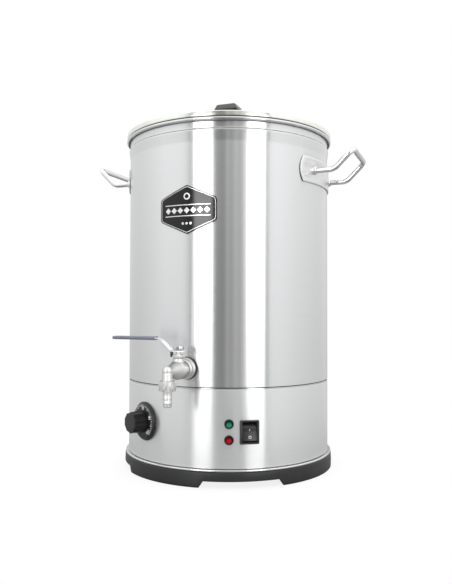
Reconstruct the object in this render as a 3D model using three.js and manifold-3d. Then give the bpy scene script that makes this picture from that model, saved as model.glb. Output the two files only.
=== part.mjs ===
// A brew kettle: a 25 litre stainless vessel with a heated floor, standing on a housing that holds the
// thermostat, pilot lamps and switch, with a ball tap, two rod handles and a glass lid.
// Millimetres, +Z up. The tap and the badge face -Y, the handles lie on the X axis.
// Azimuths are degrees around the kettle from the front, growing towards +X.
import * as THREE from 'three';
import { mergeVertices } from 'three/addons/utils/BufferGeometryUtils.js';
import Module from 'manifold-3d';

const wasm = await Module();
wasm.setup();

// ---------------------------------------------------------------- driving dimensions
const BODY_RADIUS = 150;
const SHEET = 1.2;
const GAP = 0.3;                    // left between pieces that touch
const BODY_SIDES = 60;              // facets around the kettle
const SMALL_SIDES = 24;             // facets around fittings
const BORE_SIDES = 16;              // facets around pins and small holes

const FOOT_HEIGHT = 9;
const PAN_HEIGHT = 17;              // underside of the base pan
const LEDGE_TOP = 23.7;             // top of the bright ledge around the housing
const LEDGE_UNDERSIDE = 21;
const HOUSING_BOTTOM = LEDGE_TOP + 1.1;
const SEAM_HEIGHT = 127.9;          // between housing and vessel wall
const SEAM_GAP = 0.6;               // open on each side of the seam
const FLOOR_HEIGHT = 133.3;         // underside of the vessel floor
const HANDLE_HEIGHT = 425.7;
const BEAD_BOTTOM = 460.7;
const BEAD_TOP = 471;
const RIM_TOP = 485.1;
const KNOB_TOP = 546;

const TAP_PLACE = { azimuth: -0.6, height: 154 };
const TAP_STEM_REACH = 26;          // wall to stem axis
const TAP_SPOUT_REACH = 56.5;       // wall to spout axis
const UNION_NUT_FLATS = 20;
const LEVER_GRIP_HEIGHT = 40;       // above the tap's axis
const LEVER_LENGTH = 96;

const HOUSING_CONTROLS = {
  thermostat: { azimuth: -28.7, height: 77.5 },
  greenLamp: { azimuth: 20.8, height: 82.6 },
  redLamp: { azimuth: 20.8, height: 61.9 },
  powerSwitch: { azimuth: 31.2, height: 72 },
  cableGland: { azimuth: 180, height: 45 },
};
const GLAND_REACH = 20;

// The origin is below the middle of the bounding box, so the kettle's own axis stands a little behind it.
const FRONT_REACH = BODY_RADIUS + TAP_SPOUT_REACH + UNION_NUT_FLATS / Math.sqrt(3);
const BACK_REACH = BODY_RADIUS + GLAND_REACH;
const AXIS_Y = (FRONT_REACH - BACK_REACH) / 2;

// ---------------------------------------------------------------- geometry helpers
// Merges shared corners and drops the collapsed triangles that poles and seams leave.
function weld(geometry) {
  const bare = new THREE.BufferGeometry();
  bare.setAttribute('position', geometry.getAttribute('position').clone());
  if (geometry.index) {
    bare.setIndex(geometry.index.clone());
  }
  const merged = mergeVertices(bare, 1e-4);
  const corners = merged.index.array;
  const kept = [];
  for (let i = 0; i < corners.length; i += 3) {
    const [a, b, c] = corners.slice(i, i + 3);
    if (a !== b && b !== c && c !== a) {
      kept.push(a, b, c);
    }
  }
  merged.setIndex(kept);
  return merged;
}

function solidOf(geometry) {
  const welded = weld(geometry);
  const vertProperties = new Float32Array(welded.getAttribute('position').array);
  const triVerts = new Uint32Array(welded.index.array);
  return new wasm.Manifold(new wasm.Mesh({ numProp: 3, vertProperties, triVerts }));
}

function geometryOf(solid) {
  const mesh = solid.getMesh();
  const geometry = new THREE.BufferGeometry();
  geometry.setAttribute('position', new THREE.BufferAttribute(mesh.vertProperties, 3));
  geometry.setIndex(new THREE.BufferAttribute(mesh.triVerts, 1));
  return geometry;
}

function cut(geometry, ...tools) {
  let solid = solidOf(geometry);
  for (const tool of tools) {
    solid = solid.subtract(solidOf(tool));
  }
  return geometryOf(solid);
}

function join(...geometries) {
  let solid = solidOf(geometries[0]);
  for (const other of geometries.slice(1)) {
    solid = solid.add(solidOf(other));
  }
  return geometryOf(solid);
}

// Turns a profile of [radius, height] points about the Z axis. The outside of a closed profile runs upwards.
function turned(profile, sides = SMALL_SIDES) {
  const points = profile.map(([radius, height]) => new THREE.Vector2(radius, height));
  return new THREE.LatheGeometry(points, sides).rotateX(Math.PI / 2);
}

// A closed ring between two radii and two heights.
function ring(inner, outer, bottom, top, sides = SMALL_SIDES) {
  return turned([[inner, bottom], [outer, bottom], [outer, top], [inner, top], [inner, bottom]], sides);
}

function disc(radius, bottom, top, sides = SMALL_SIDES) {
  return turned([[0, bottom], [radius, bottom], [radius, top], [0, top]], sides);
}

function box(width, depth, height, x = 0, y = 0, z = 0) {
  return new THREE.BoxGeometry(width, depth, height).translate(x, y, z);
}

// A hexagonal prism on the Z axis, with two flats facing X.
function hexPrism(flats, bottom, top) {
  const corner = flats / Math.sqrt(3);
  return new THREE.CylinderGeometry(corner, corner, top - bottom, 6)
    .rotateX(Math.PI / 2)
    .translate(0, 0, (bottom + top) / 2);
}

// Points of an arc in a profile, from one angle to another in degrees.
function arc(radius, height, size, from, to, steps) {
  const points = [];
  for (let i = 0; i <= steps; i += 1) {
    const angle = THREE.MathUtils.degToRad(from + ((to - from) * i) / steps);
    points.push([radius + size * Math.cos(angle), height + size * Math.sin(angle)]);
  }
  return points;
}

// A round bar swept along a curve.
function sweptBar(curve, radius, steps, sides) {
  const section = new THREE.Shape();
  section.absarc(0, 0, radius, 0, 2 * Math.PI);
  const settings = { extrudePath: curve, steps, curveSegments: sides, bevelEnabled: false };
  return new THREE.ExtrudeGeometry(section, settings);
}

// Skins a stack of closed loops, one above the other, and closes both ends.
function lofted(loops) {
  const count = loops[0].length;
  const positions = loops.flat().flatMap((point) => [point.x, point.y, point.z]);
  const triangles = [];
  for (let level = 0; level + 1 < loops.length; level += 1) {
    for (let i = 0; i < count; i += 1) {
      const next = (i + 1) % count;
      const [a, b] = [level * count + i, level * count + next];
      triangles.push(a, b, b + count, a, b + count, a + count);
    }
  }
  const last = (loops.length - 1) * count;
  for (let i = 1; i + 1 < count; i += 1) {
    triangles.push(0, i + 1, i);
    triangles.push(last, last + i, last + i + 1);
  }
  const geometry = new THREE.BufferGeometry();
  geometry.setAttribute('position', new THREE.Float32BufferAttribute(positions, 3));
  geometry.setIndex(triangles);
  return geometry;
}

// Lays a turned or extruded piece on its side, so that its +Z points outwards from the wall, along -Y.
function outwards(geometry) {
  return geometry.rotateX(Math.PI / 2);
}

// Moves a piece that is drawn at the middle of the wall's front to a place around the kettle.
function placedOnWall(geometry, { azimuth, height }) {
  return geometry
    .translate(0, -BODY_RADIUS, height)
    .rotateZ(THREE.MathUtils.degToRad(azimuth));
}

// Bends a flat plate around the kettle's axis. It is first cut into upright strips, which stay flat.
function bentAroundWall(outline, innerRadius, thickness, stripWidth) {
  const shape = new THREE.Shape(outline);
  const blank = solidOf(outwards(new THREE.ExtrudeGeometry(shape, { depth: thickness, bevelEnabled: false })));
  const halfWidth = Math.max(...outline.map((point) => point.x));
  const height = 3 * Math.max(...outline.map((point) => point.y));
  const strips = Math.ceil(halfWidth / stripWidth);
  let plate = null;
  for (let i = -strips; i < strips; i += 1) {
    const strip = box(stripWidth, 4 * thickness, height, (i + 0.5) * stripWidth, 0, 0);
    const piece = blank.intersect(solidOf(strip));
    plate = plate ? plate.add(piece) : piece;
  }
  const geometry = geometryOf(plate);
  const position = geometry.getAttribute('position');
  for (let i = 0; i < position.count; i += 1) {
    const radius = innerRadius - position.getY(i);
    const angle = position.getX(i) / innerRadius;
    position.setXYZ(i, radius * Math.sin(angle), -radius * Math.cos(angle), position.getZ(i));
  }
  return geometry;
}

// A group whose origin lies on the wall, with its -Y pointing outwards.
function wallGroup(parent, { azimuth, height }) {
  const turnedGroup = new THREE.Group();
  turnedGroup.rotation.z = THREE.MathUtils.degToRad(azimuth);
  const station = new THREE.Group();
  station.position.set(0, -BODY_RADIUS, height);
  turnedGroup.add(station);
  parent.add(turnedGroup);
  return station;
}

function addMesh(parent, name, geometry, [color, roughness, metalness]) {
  const material = new THREE.MeshStandardMaterial({ color, roughness, metalness });
  const mesh = new THREE.Mesh(weld(geometry), material);
  mesh.name = name;
  parent.add(mesh);
  return mesh;
}

// ---------------------------------------------------------------- materials: colour, roughness, metalness
const BRUSHED_STEEL = [0xc9cacb, 0.32, 1];
const POLISHED_STEEL = [0xdcdddf, 0.12, 1];
const CAST_STEEL = [0xd0d0ce, 0.42, 1];
const ZINC = [0xb9bcc0, 0.4, 1];
const ALUMINIUM = [0xb8babd, 0.5, 1];
const COPPER = [0xb87355, 0.35, 1];
const BLACK_PLASTIC = [0x2b2b2c, 0.5, 0];
const DARK_PLASTIC = [0x1d1d1f, 0.4, 0];
const WHITE_PLASTIC = [0xe6e3da, 0.5, 0];
const GLASS = [0xdfe9e0, 0.05, 0];
const BLACK_ENAMEL = [0x1a1b1c, 0.2, 0];
const SILICONE = [0x2a2a2b, 0.7, 0];
const VINYL = [0x7d80a8, 0.5, 0];
const PTFE = [0xf0f0ee, 0.5, 0];
const GREEN_LENS = [0x17785a, 0.15, 0];
const RED_LENS = [0xc21418, 0.15, 0];

// ---------------------------------------------------------------- the kettle
const kettle = new THREE.Group();
kettle.position.y = AXIS_Y;

// Holes that the fittings need in the two walls, as radial tools.
function wallHole(radius, place) {
  return placedOnWall(outwards(disc(radius, -8, 8, BORE_SIDES)), place);
}

const TAIL_RADIUS = 10.3;           // half-inch pipe thread

// The drawn cylinder, its flat-topped stiffening bead and the rolled rim.
function addVesselWall() {
  const inner = BODY_RADIUS - SHEET;
  const beadOut = 2.7;
  const curl = 2.5;
  const curlRadius = BODY_RADIUS + 3;
  const curlHeight = RIM_TOP - curl;
  const profile = [
    [inner, SEAM_HEIGHT + SEAM_GAP],
    [BODY_RADIUS, SEAM_HEIGHT + SEAM_GAP],
    [BODY_RADIUS, BEAD_BOTTOM],
    [BODY_RADIUS + beadOut - 0.5, BEAD_BOTTOM + 0.8],
    [BODY_RADIUS + beadOut, BEAD_BOTTOM + 2.3],
    [BODY_RADIUS + beadOut, BEAD_TOP - 2.3],
    [BODY_RADIUS + beadOut - 0.5, BEAD_TOP - 0.8],
    [BODY_RADIUS, BEAD_TOP],
    [BODY_RADIUS, curlHeight - curl + 0.4],
    ...arc(curlRadius, curlHeight, curl, -100, 90, 6),
    [inner + 1, RIM_TOP - 0.3],
    [inner, RIM_TOP - 1.2],
    [inner, BEAD_TOP],
    [inner + beadOut, BEAD_TOP - 1.6],
    [inner + beadOut, BEAD_BOTTOM + 1.6],
    [inner, BEAD_BOTTOM],
    [inner, SEAM_HEIGHT + SEAM_GAP],
  ];
  const wall = cut(turned(profile, BODY_SIDES), wallHole(TAIL_RADIUS + 0.7, TAP_PLACE));
  addMesh(kettle, 'vessel_wall', wall, BRUSHED_STEEL);
}

// The floor pan: its skirt hangs down behind the seam, inside both walls.
function addVesselFloor() {
  const outer = BODY_RADIUS - SHEET - 0.4;
  const skirtBottom = SEAM_HEIGHT - 14;
  const top = FLOOR_HEIGHT + SHEET;
  const bend = 4;
  const profile = [
    [0, FLOOR_HEIGHT],
    [outer - bend, FLOOR_HEIGHT],
    [outer - SHEET, FLOOR_HEIGHT - bend + SHEET],
    [outer - SHEET, skirtBottom],
    [outer, skirtBottom],
    ...arc(outer - bend, top - bend, bend, 0, 90, 2),
    [0, top],
  ];
  addMesh(kettle, 'vessel_floor', turned(profile, BODY_SIDES), BRUSHED_STEEL);
}

const THERMOSTAT_SCREW_OFFSET = 14;
const SWITCH_BODY = { width: 21.6, height: 27.6 };
const LAMP_BARREL = 5;
const GLAND_TAIL = 7.9;

function addLowerHousing() {
  const controls = HOUSING_CONTROLS;
  const cutout = box(SWITCH_BODY.width + 0.8, 16, SWITCH_BODY.height + 0.8);
  const tools = [
    wallHole(5, controls.thermostat),
    wallHole(LAMP_BARREL + 0.4, controls.greenLamp),
    wallHole(LAMP_BARREL + 0.4, controls.redLamp),
    wallHole(GLAND_TAIL + 0.5, controls.cableGland),
    placedOnWall(cutout, controls.powerSwitch),
  ];
  for (const side of [-1, 1]) {
    const { azimuth, height } = controls.thermostat;
    tools.push(wallHole(2.4, { azimuth, height: height + side * THERMOSTAT_SCREW_OFFSET }));
  }
  const shell = ring(BODY_RADIUS - SHEET, BODY_RADIUS, HOUSING_BOTTOM, SEAM_HEIGHT - SEAM_GAP, BODY_SIDES);
  addMesh(kettle, 'lower_housing', cut(shell, ...tools), BRUSHED_STEEL);
}

const FOOT_SCREW_RADIUS = 141.5;      // from the kettle's axis to each screw
const FOOT_COUNT = 4;
const NOTCH_AZIMUTH = 27.6;         // middle of the first notch
const NOTCH_HALF_WIDTH = 56.5;      // on the floor, between two feet

function aroundKettle(radius, azimuth) {
  const angle = THREE.MathUtils.degToRad(azimuth);
  return [radius * Math.sin(angle), -radius * Math.cos(angle)];
}

function footScrewHoles(radius, bottom, top) {
  const holes = [];
  for (let i = 0; i < FOOT_COUNT; i += 1) {
    const [x, y] = aroundKettle(FOOT_SCREW_RADIUS, NOTCH_AZIMUTH + (360 / FOOT_COUNT) * i);
    holes.push(disc(radius, bottom, top, BORE_SIDES).translate(x, y, 0));
  }
  return holes;
}

// A shallow pan under the housing. Its collar stands inside the housing's foot, and the ledge around
// the collar carries the housing and shows as a bright line.
function addBasePan() {
  const collar = BODY_RADIUS - SHEET - GAP;
  const collarTop = HOUSING_BOTTOM + 1.2;
  const ledge = BODY_RADIUS + 4.3;
  const profile = [
    [0, PAN_HEIGHT],
    [collar, PAN_HEIGHT],
    [collar, LEDGE_UNDERSIDE],
    [ledge - 0.4, LEDGE_UNDERSIDE],
    [ledge, (LEDGE_UNDERSIDE + LEDGE_TOP) / 2],
    [ledge - 0.4, LEDGE_TOP],
    [collar, LEDGE_TOP],
    [collar, collarTop],
    [collar - SHEET, collarTop],
    [collar - SHEET, PAN_HEIGHT + SHEET],
    [0, PAN_HEIGHT + SHEET],
  ];
  const pan = cut(turned(profile, BODY_SIDES), ...footScrewHoles(2.5, PAN_HEIGHT - 4, PAN_HEIGHT + 4));
  addMesh(kettle, 'base_pan', pan, BRUSHED_STEEL);
}

// The black moulding that carries the pan: a ring cut away between four long feet with sloping ends.
function addFootRing() {
  const inner = FOOT_SCREW_RADIUS - 6;
  const lip = BODY_RADIUS - SHEET;
  const top = LEDGE_UNDERSIDE - GAP;
  const edge = 1.2;
  const profile = [
    [inner, edge],
    [inner + 1, 0],
    [BODY_RADIUS + 4.4, 0],
    [BODY_RADIUS + 5.6, edge],
    [BODY_RADIUS + 4.6, top],
    [lip, top],
    [lip, PAN_HEIGHT - GAP],
    [inner, PAN_HEIGHT - GAP],
    [inner, edge],
  ];
  const notches = [];
  const slope = 6;
  const depth = 60;
  const margin = 1;
  const spill = (slope * margin) / FOOT_HEIGHT;
  for (let i = 0; i < FOOT_COUNT; i += 1) {
    const outline = new THREE.Shape([
      new THREE.Vector2(-NOTCH_HALF_WIDTH - spill, -margin),
      new THREE.Vector2(NOTCH_HALF_WIDTH + spill, -margin),
      new THREE.Vector2(NOTCH_HALF_WIDTH - slope, FOOT_HEIGHT),
      new THREE.Vector2(-NOTCH_HALF_WIDTH + slope, FOOT_HEIGHT),
    ]);
    const prism = new THREE.ExtrudeGeometry(outline, { depth, bevelEnabled: false });
    const azimuth = NOTCH_AZIMUTH + (360 / FOOT_COUNT) * i;
    notches.push(outwards(prism.translate(0, 0, -depth / 2)).translate(0, -BODY_RADIUS, 0)
      .rotateZ(THREE.MathUtils.degToRad(azimuth)));
  }
  const holes = footScrewHoles(2.5, FOOT_HEIGHT - 2, PAN_HEIGHT + 2);
  const moulding = cut(turned(profile, BODY_SIDES), ...notches, ...holes);
  addMesh(kettle, 'foot_ring', moulding, BLACK_PLASTIC);
}

function addFootScrews() {
  const headTop = FOOT_HEIGHT - GAP;
  const profile = [
    [0, headTop - 2.4],
    [2.6, headTop - 2.2],
    [4, headTop - 0.9],
    [4, headTop],
    [2, headTop],
    [2, PAN_HEIGHT + 7],
    [0, PAN_HEIGHT + 8.5],
  ];
  for (let i = 0; i < FOOT_COUNT; i += 1) {
    const [x, y] = aroundKettle(FOOT_SCREW_RADIUS, NOTCH_AZIMUTH + (360 / FOOT_COUNT) * i);
    const screw = addMesh(kettle, `foot_screw_${i + 1}`, turned(profile, 12), ZINC);
    screw.position.set(x, y, 0);
  }
}

// ---------------------------------------------------------------- heater, under the vessel floor
const SPREADER_RADIUS = 95;
const SPREADER_THICKNESS = 4;

function addHeater() {
  const spreaderTop = FLOOR_HEIGHT - GAP;
  const spreaderBottom = spreaderTop - SPREADER_THICKNESS;
  const spreader = disc(SPREADER_RADIUS, spreaderBottom, spreaderTop, 40);
  addMesh(kettle, 'heat_spreader', spreader, ALUMINIUM);

  const tube = 4;
  const loopRadius = 70;
  const loopHeight = spreaderBottom - GAP - tube;
  const onLoop = (azimuth, drop) => {
    const [x, y] = aroundKettle(loopRadius, azimuth);
    return new THREE.Vector3(x, y, loopHeight - drop);
  };
  const [first, last] = [200, 520];
  const path = [onLoop(first, 24), onLoop(first, 3), onLoop(first + 2, 0)];
  for (let azimuth = first + 10; azimuth < last; azimuth += 10) {
    path.push(onLoop(azimuth, 0));
  }
  path.push(onLoop(last - 2, 0), onLoop(last, 3), onLoop(last, 24));
  addMesh(kettle, 'heating_element', railAlong(path, tube, 8), CAST_STEEL);

  const cutoutTop = spreaderBottom - GAP;
  const cutout = turned([
    [0, cutoutTop - 14], [8, cutoutTop - 14], [8, cutoutTop - 6], [12, cutoutTop - 6], [12, cutoutTop],
    [0, cutoutTop],
  ]);
  addMesh(kettle, 'boil_dry_cutout', cutout, WHITE_PLASTIC);
}

function addWiring() {
  const floor = PAN_HEIGHT + SHEET + GAP;
  const block = join(
    box(44, 18, 8, 0, 70, floor + 4),
    box(40, 10, 10, 0, 70, floor + 12),
  );
  addMesh(kettle, 'terminal_block', block, WHITE_PLASTIC);

  const station = wallGroup(kettle, HOUSING_CONTROLS.cableGland);
  const bore = disc(3.8, -30, 30, BORE_SIDES);
  const flange = hexPrism(22, GAP, 6);
  const dome = turned([[0, 5], [10, 5], [10, 14], [8.5, 18], [6, GLAND_REACH], [0, GLAND_REACH]]);
  const tail = disc(GLAND_TAIL, -12, 1, SMALL_SIDES);
  const gland = cut(join(flange, dome, tail), bore);
  addMesh(station, 'cable_gland', outwards(gland), DARK_PLASTIC);
  const nut = cut(hexPrism(22, -7, -2.2), disc(GLAND_TAIL + 0.5, -10, 0, SMALL_SIDES));
  addMesh(station, 'cable_gland_nut', outwards(nut), DARK_PLASTIC);
}

// ---------------------------------------------------------------- lid
const BAND_BOTTOM = RIM_TOP + 0.6;
const BAND_TOP = BAND_BOTTOM + 8.6;
const BAND_OUTER = BODY_RADIUS + 4.9;
const BAND_SHEET = 0.8;
const GLASS_THICKNESS = 3.2;
const GLASS_EDGE = BAND_OUTER - 1.7;
const GLASS_UNDERSIDE = BAND_TOP - BAND_SHEET - GAP - GLASS_THICKNESS;
const DOME_RADIUS = 148;            // where the dome meets the flat edge of the glass
const DOME_RISE = 19.5;

// Height of the glass's underside over its edge, at a distance from the axis: a shallow spherical dome.
function domeHeight(radius) {
  const sphere = (DOME_RADIUS ** 2 + DOME_RISE ** 2) / (2 * DOME_RISE);
  const inside = Math.min(radius, DOME_RADIUS);
  return Math.sqrt(sphere ** 2 - inside ** 2) - (sphere - DOME_RISE);
}

function addLid() {
  const lid = new THREE.Group();
  kettle.add(lid);

  const screwHole = 4;
  const radii = [screwHole, 50, 90, 122, DOME_RADIUS];
  const top = GLASS_UNDERSIDE + GLASS_THICKNESS;
  const profile = [
    ...radii.map((radius) => [radius, GLASS_UNDERSIDE + domeHeight(radius)]),
    [GLASS_EDGE, GLASS_UNDERSIDE],
    [GLASS_EDGE, top],
    ...radii.toReversed().map((radius) => [radius, top + domeHeight(radius)]),
    [screwHole, GLASS_UNDERSIDE + domeHeight(screwHole)],
  ];
  addMesh(lid, 'lid_glass', turned(profile, BODY_SIDES), GLASS);
  addLidBand(lid);
  addKnob(lid, GLASS_UNDERSIDE + DOME_RISE);
}

// The steel band grips the glass between a lip and a shelf, rests on the rim with its flange and
// reaches down into the vessel. Between shelf and flange a channel opens inwards.
function addLidBand(lid) {
  const skirt = BODY_RADIUS - SHEET - 1.2;
  const skirtBottom = RIM_TOP - 8;
  const inner = skirt - BAND_SHEET;
  const shelf = GLASS_UNDERSIDE - GAP;
  const lipEdge = GLASS_EDGE - 2.7;
  const shoulder = 1.6;
  const profile = [
    [inner, skirtBottom],
    [skirt, skirtBottom],
    [skirt, BAND_BOTTOM],
    [BAND_OUTER - 1, BAND_BOTTOM],
    [BAND_OUTER, BAND_BOTTOM + 1],
    [BAND_OUTER, BAND_TOP - shoulder],
    [BAND_OUTER - shoulder, BAND_TOP],
    [lipEdge, BAND_TOP],
    [lipEdge, BAND_TOP - BAND_SHEET],
    [GLASS_EDGE + GAP, BAND_TOP - BAND_SHEET],
    [GLASS_EDGE + GAP, shelf],
    [inner, shelf],
    [inner, shelf - BAND_SHEET],
    [BAND_OUTER - shoulder, shelf - BAND_SHEET],
    [BAND_OUTER - shoulder, BAND_BOTTOM + BAND_SHEET],
    [inner, BAND_BOTTOM + BAND_SHEET],
    [inner, skirtBottom],
  ];
  addMesh(lid, 'lid_band', turned(profile, BODY_SIDES), POLISHED_STEEL);
}

// A square knob with a bevelled top and a finger undercut, held by a screw through the glass.
function addKnob(lid, glassUnderside) {
  const base = glassUnderside + GLASS_THICKNESS + 1.6 + 2 * GAP;
  const levels = [
    [13, base],
    [12, base + 4],
    [12, KNOB_TOP - 18],
    [15, KNOB_TOP - 11.5],
    [18, KNOB_TOP - 9.5],
    [18.2, KNOB_TOP - 7.8],
    [15.4, KNOB_TOP - 0.6],
    [14.4, KNOB_TOP],
  ];
  const corner = 0.2;               // share of the half width taken by each rounded corner
  const squareLoop = ([half, height]) => {
    const loop = [];
    for (let quarter = 0; quarter < 4; quarter += 1) {
      for (const step of [0, 45, 90]) {
        const angle = THREE.MathUtils.degToRad(quarter * 90 + step);
        const middle = new THREE.Vector2(half * (1 - corner), half * (1 - corner))
          .rotateAround(new THREE.Vector2(), THREE.MathUtils.degToRad(quarter * 90));
        loop.push(new THREE.Vector3(
          middle.x + half * corner * Math.cos(angle),
          middle.y + half * corner * Math.sin(angle),
          height,
        ));
      }
    }
    return loop;
  };
  const screwTop = base + 14;
  const knob = cut(lofted(levels.map(squareLoop)), disc(2.4, base - 1, screwTop + 1, BORE_SIDES));
  addMesh(lid, 'lid_knob', knob, BLACK_PLASTIC);

  const upper = base - GAP;
  addMesh(lid, 'lid_washer_upper', ring(2.8, 12, upper - 1.6, upper), SILICONE);
  const lower = glassUnderside - GAP;
  addMesh(lid, 'lid_washer_lower', ring(2.8, 9, lower - 1.6, lower), SILICONE);
  const head = lower - 1.6 - GAP;
  const screw = turned([
    [0, head - 2.6], [3.4, head - 2.2], [4.4, head - 0.8], [4.4, head], [2, head], [2, screwTop], [0, screwTop],
  ], BORE_SIDES);
  addMesh(lid, 'lid_screw', screw, ZINC);
}

// ---------------------------------------------------------------- handles
const HANDLE_LEG_OFFSET = 47;
const HANDLE_ROD = 3.75;
const SOCKET_RADIUS = 6.4;
const SOCKET_FACE = 149.6;          // from the kettle's axis to the end of a socket
const HANDLE_REACH = 200;           // from the kettle's axis to the cross bar
const HANDLE_RISE = 26.5;           // cross bar above the legs
const SOCKET_DEPTH = 3.6;
const ROD_SIDES = 10;

// A plate bent around the wall, with bowed ends and two raised sockets for the rod.
function handlePlate() {
  const inner = BODY_RADIUS + 0.4;
  const halfHeight = 17.8;
  const corner = 70;                // half the length of the straight long edges, around the wall
  const bow = 6.3;                  // of each end
  const thickness = 1.8;
  const outline = [];
  for (const side of [1, -1]) {
    for (const share of [-1, -0.6, -0.2, 0.2, 0.6, 1]) {
      const reach = corner + bow * (1 - share ** 2);
      outline.push(new THREE.Vector2(side * reach, side * share * halfHeight));
    }
  }
  const plate = bentAroundWall(outline, inner, thickness, HANDLE_LEG_OFFSET / 10);
  const innerCylinder = disc(inner, -2 * halfHeight, 2 * halfHeight, BODY_SIDES * 2);
  const sockets = [-1, 1].map((side) => {
    const socket = outwards(disc(SOCKET_RADIUS, SOCKET_FACE - SOCKET_DEPTH, SOCKET_FACE, BORE_SIDES))
      .translate(side * HANDLE_LEG_OFFSET, 0, 0);
    return cut(socket, innerCylinder);
  });
  return join(plate, ...sockets);
}

// A U of round rod: two legs out of the plate, bent upwards to a cross bar.
function handleRod() {
  const start = SOCKET_FACE + GAP;
  const rise = HANDLE_RISE;
  const bendRadius = 11;
  const bendStart = HANDLE_REACH - rise - bendRadius * Math.tan(Math.PI / 8);
  const cornerRadius = 10;
  const slant = Math.SQRT1_2;       // the rod climbs at 45 degrees
  const leg = (side) => {
    const x = side * HANDLE_LEG_OFFSET;
    return [
      new THREE.Vector3(x, -start, 0),
      new THREE.Vector3(x, -bendStart, 0),
      ...[22.5, 45].map((degrees) => {
        const angle = THREE.MathUtils.degToRad(degrees);
        const along = bendRadius * Math.sin(angle);
        return new THREE.Vector3(x, -bendStart - along, bendRadius * (1 - Math.cos(angle)));
      }),
      new THREE.Vector3(x, -HANDLE_REACH + cornerRadius * slant, rise - cornerRadius * slant),
    ];
  };
  const corner = (side) => [22.5, 45, 67.5].map((degrees) => {
    const angle = THREE.MathUtils.degToRad(degrees);
    const along = cornerRadius * Math.sin(angle);
    const across = cornerRadius * (1 - Math.cos(angle));
    const toGo = (cornerRadius - along) * slant;
    return new THREE.Vector3(side * (HANDLE_LEG_OFFSET - across), -HANDLE_REACH + toGo, rise - toGo);
  });
  const half = HANDLE_LEG_OFFSET - cornerRadius;
  const points = [
    ...leg(-1),
    ...corner(-1),
    new THREE.Vector3(-half, -HANDLE_REACH, rise),
    new THREE.Vector3(half, -HANDLE_REACH, rise),
    ...corner(1).toReversed(),
    ...leg(1).toReversed(),
  ];
  return railAlong(points, HANDLE_ROD, ROD_SIDES);
}

// Skins a rod through a list of points, mitred at every point, with the section kept upright.
function railAlong(points, radius, sides) {
  const loops = points.map((point, i) => {
    const before = points[Math.max(i - 1, 0)];
    const after = points[Math.min(i + 1, points.length - 1)];
    const into = point.clone().sub(before).normalize();
    const out = after.clone().sub(point).normalize();
    const tangent = into.clone().add(out).normalize();
    const stretch = 1 / Math.max(tangent.dot(i === 0 ? out : into), 0.5);
    const bend = out.clone().sub(into);
    const frame = frameFor(tangent, bend);
    return sectionLoop(point, frame, radius, sides, stretch);
  });
  return lofted(alignedLoops(loops));
}

// Two directions across a tangent; the first lies in the plane of the bend, where a mitre stretches.
function frameFor(tangent, bend) {
  const across = bend.lengthSq() > 1e-8 ? bend.clone() : new THREE.Vector3(0, 0, 1);
  across.addScaledVector(tangent, -across.dot(tangent)).normalize();
  const third = new THREE.Vector3().crossVectors(tangent, across);
  return [across, third];
}

function sectionLoop(point, [across, third], radius, sides, stretch) {
  const loop = [];
  for (let i = 0; i < sides; i += 1) {
    const angle = (2 * Math.PI * i) / sides;
    loop.push(point.clone()
      .addScaledVector(across, radius * stretch * Math.cos(angle))
      .addScaledVector(third, radius * Math.sin(angle)));
  }
  return loop;
}

// Turns each loop's start to the corner nearest the loop before it, so that the skin doesn't twist.
function alignedLoops(loops) {
  const aligned = [loops[0]];
  for (const loop of loops.slice(1)) {
    const previous = aligned[aligned.length - 1];
    const misfit = (shift) => loop.reduce((sum, _, i) => (
      sum + previous[i].distanceToSquared(loop[(i + shift) % loop.length])
    ), 0);
    let best = 0;
    for (let shift = 1; shift < loop.length; shift += 1) {
      if (misfit(shift) < misfit(best)) {
        best = shift;
      }
    }
    aligned.push(loop.map((_, i) => loop[(i + best) % loop.length]));
  }
  return aligned;
}

function addHandles() {
  for (const [side, azimuth] of [['left', -90], ['right', 90]]) {
    const handle = new THREE.Group();
    handle.rotation.z = THREE.MathUtils.degToRad(azimuth);
    handle.position.z = HANDLE_HEIGHT;
    kettle.add(handle);
    addMesh(handle, `handle_plate_${side}`, handlePlate(), POLISHED_STEEL);
    addMesh(handle, `handle_rod_${side}`, handleRod(), POLISHED_STEEL);
  }
}

// ---------------------------------------------------------------- badge
// A six-sided plate with rounded corners, bent around the wall.
function addBadge() {
  const halfWidth = 41.2;
  const halfHeight = 33.4;
  const shoulder = 15;
  const azimuth = -0.8;
  const height = 364;
  const corners = [
    [0, halfHeight], [-halfWidth, shoulder], [-halfWidth, -shoulder],
    [0, -halfHeight], [halfWidth, -shoulder], [halfWidth, shoulder],
  ].map(([x, z]) => new THREE.Vector2(x, z));
  const outline = [];
  corners.forEach((corner, i) => {
    const before = corners[(i + 5) % 6].clone().sub(corner).setLength(4);
    const after = corners[(i + 1) % 6].clone().sub(corner).setLength(4);
    outline.push(corner.clone().add(before));
    outline.push(corner.clone().addScaledVector(before, 0.25).addScaledVector(after, 0.25));
    outline.push(corner.clone().add(after));
  });
  const plate = bentAroundWall(outline, BODY_RADIUS + 0.5, 1, 8);
  const badge = addMesh(kettle, 'badge_plate', plate, BLACK_ENAMEL);
  badge.position.z = height;
  badge.rotation.z = THREE.MathUtils.degToRad(azimuth);
}

// ---------------------------------------------------------------- tap
const TAP_BORE = 5.2;
const SPOUT_BORE = 4.4;
const SPOUT_RADIUS = 6.4;
const CHAMBER_RADIUS = 9;
const SEAT_REACH = 10.6;            // from the stem's axis to the back of each seat
const STEM_RADIUS = 3;
const BALL_RADIUS = 8.5;
const NECK_TOP = 15;                // above the tap's axis
const COLLAR_FACE = 9.5;
const LEVER_HUB = 23;               // underside of the lever, above the tap's axis
const LEVER_WIDTH = 10;
const LEVER_THICKNESS = 2;
const SLEEVE_START = 32;            // from the stem's axis

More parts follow.
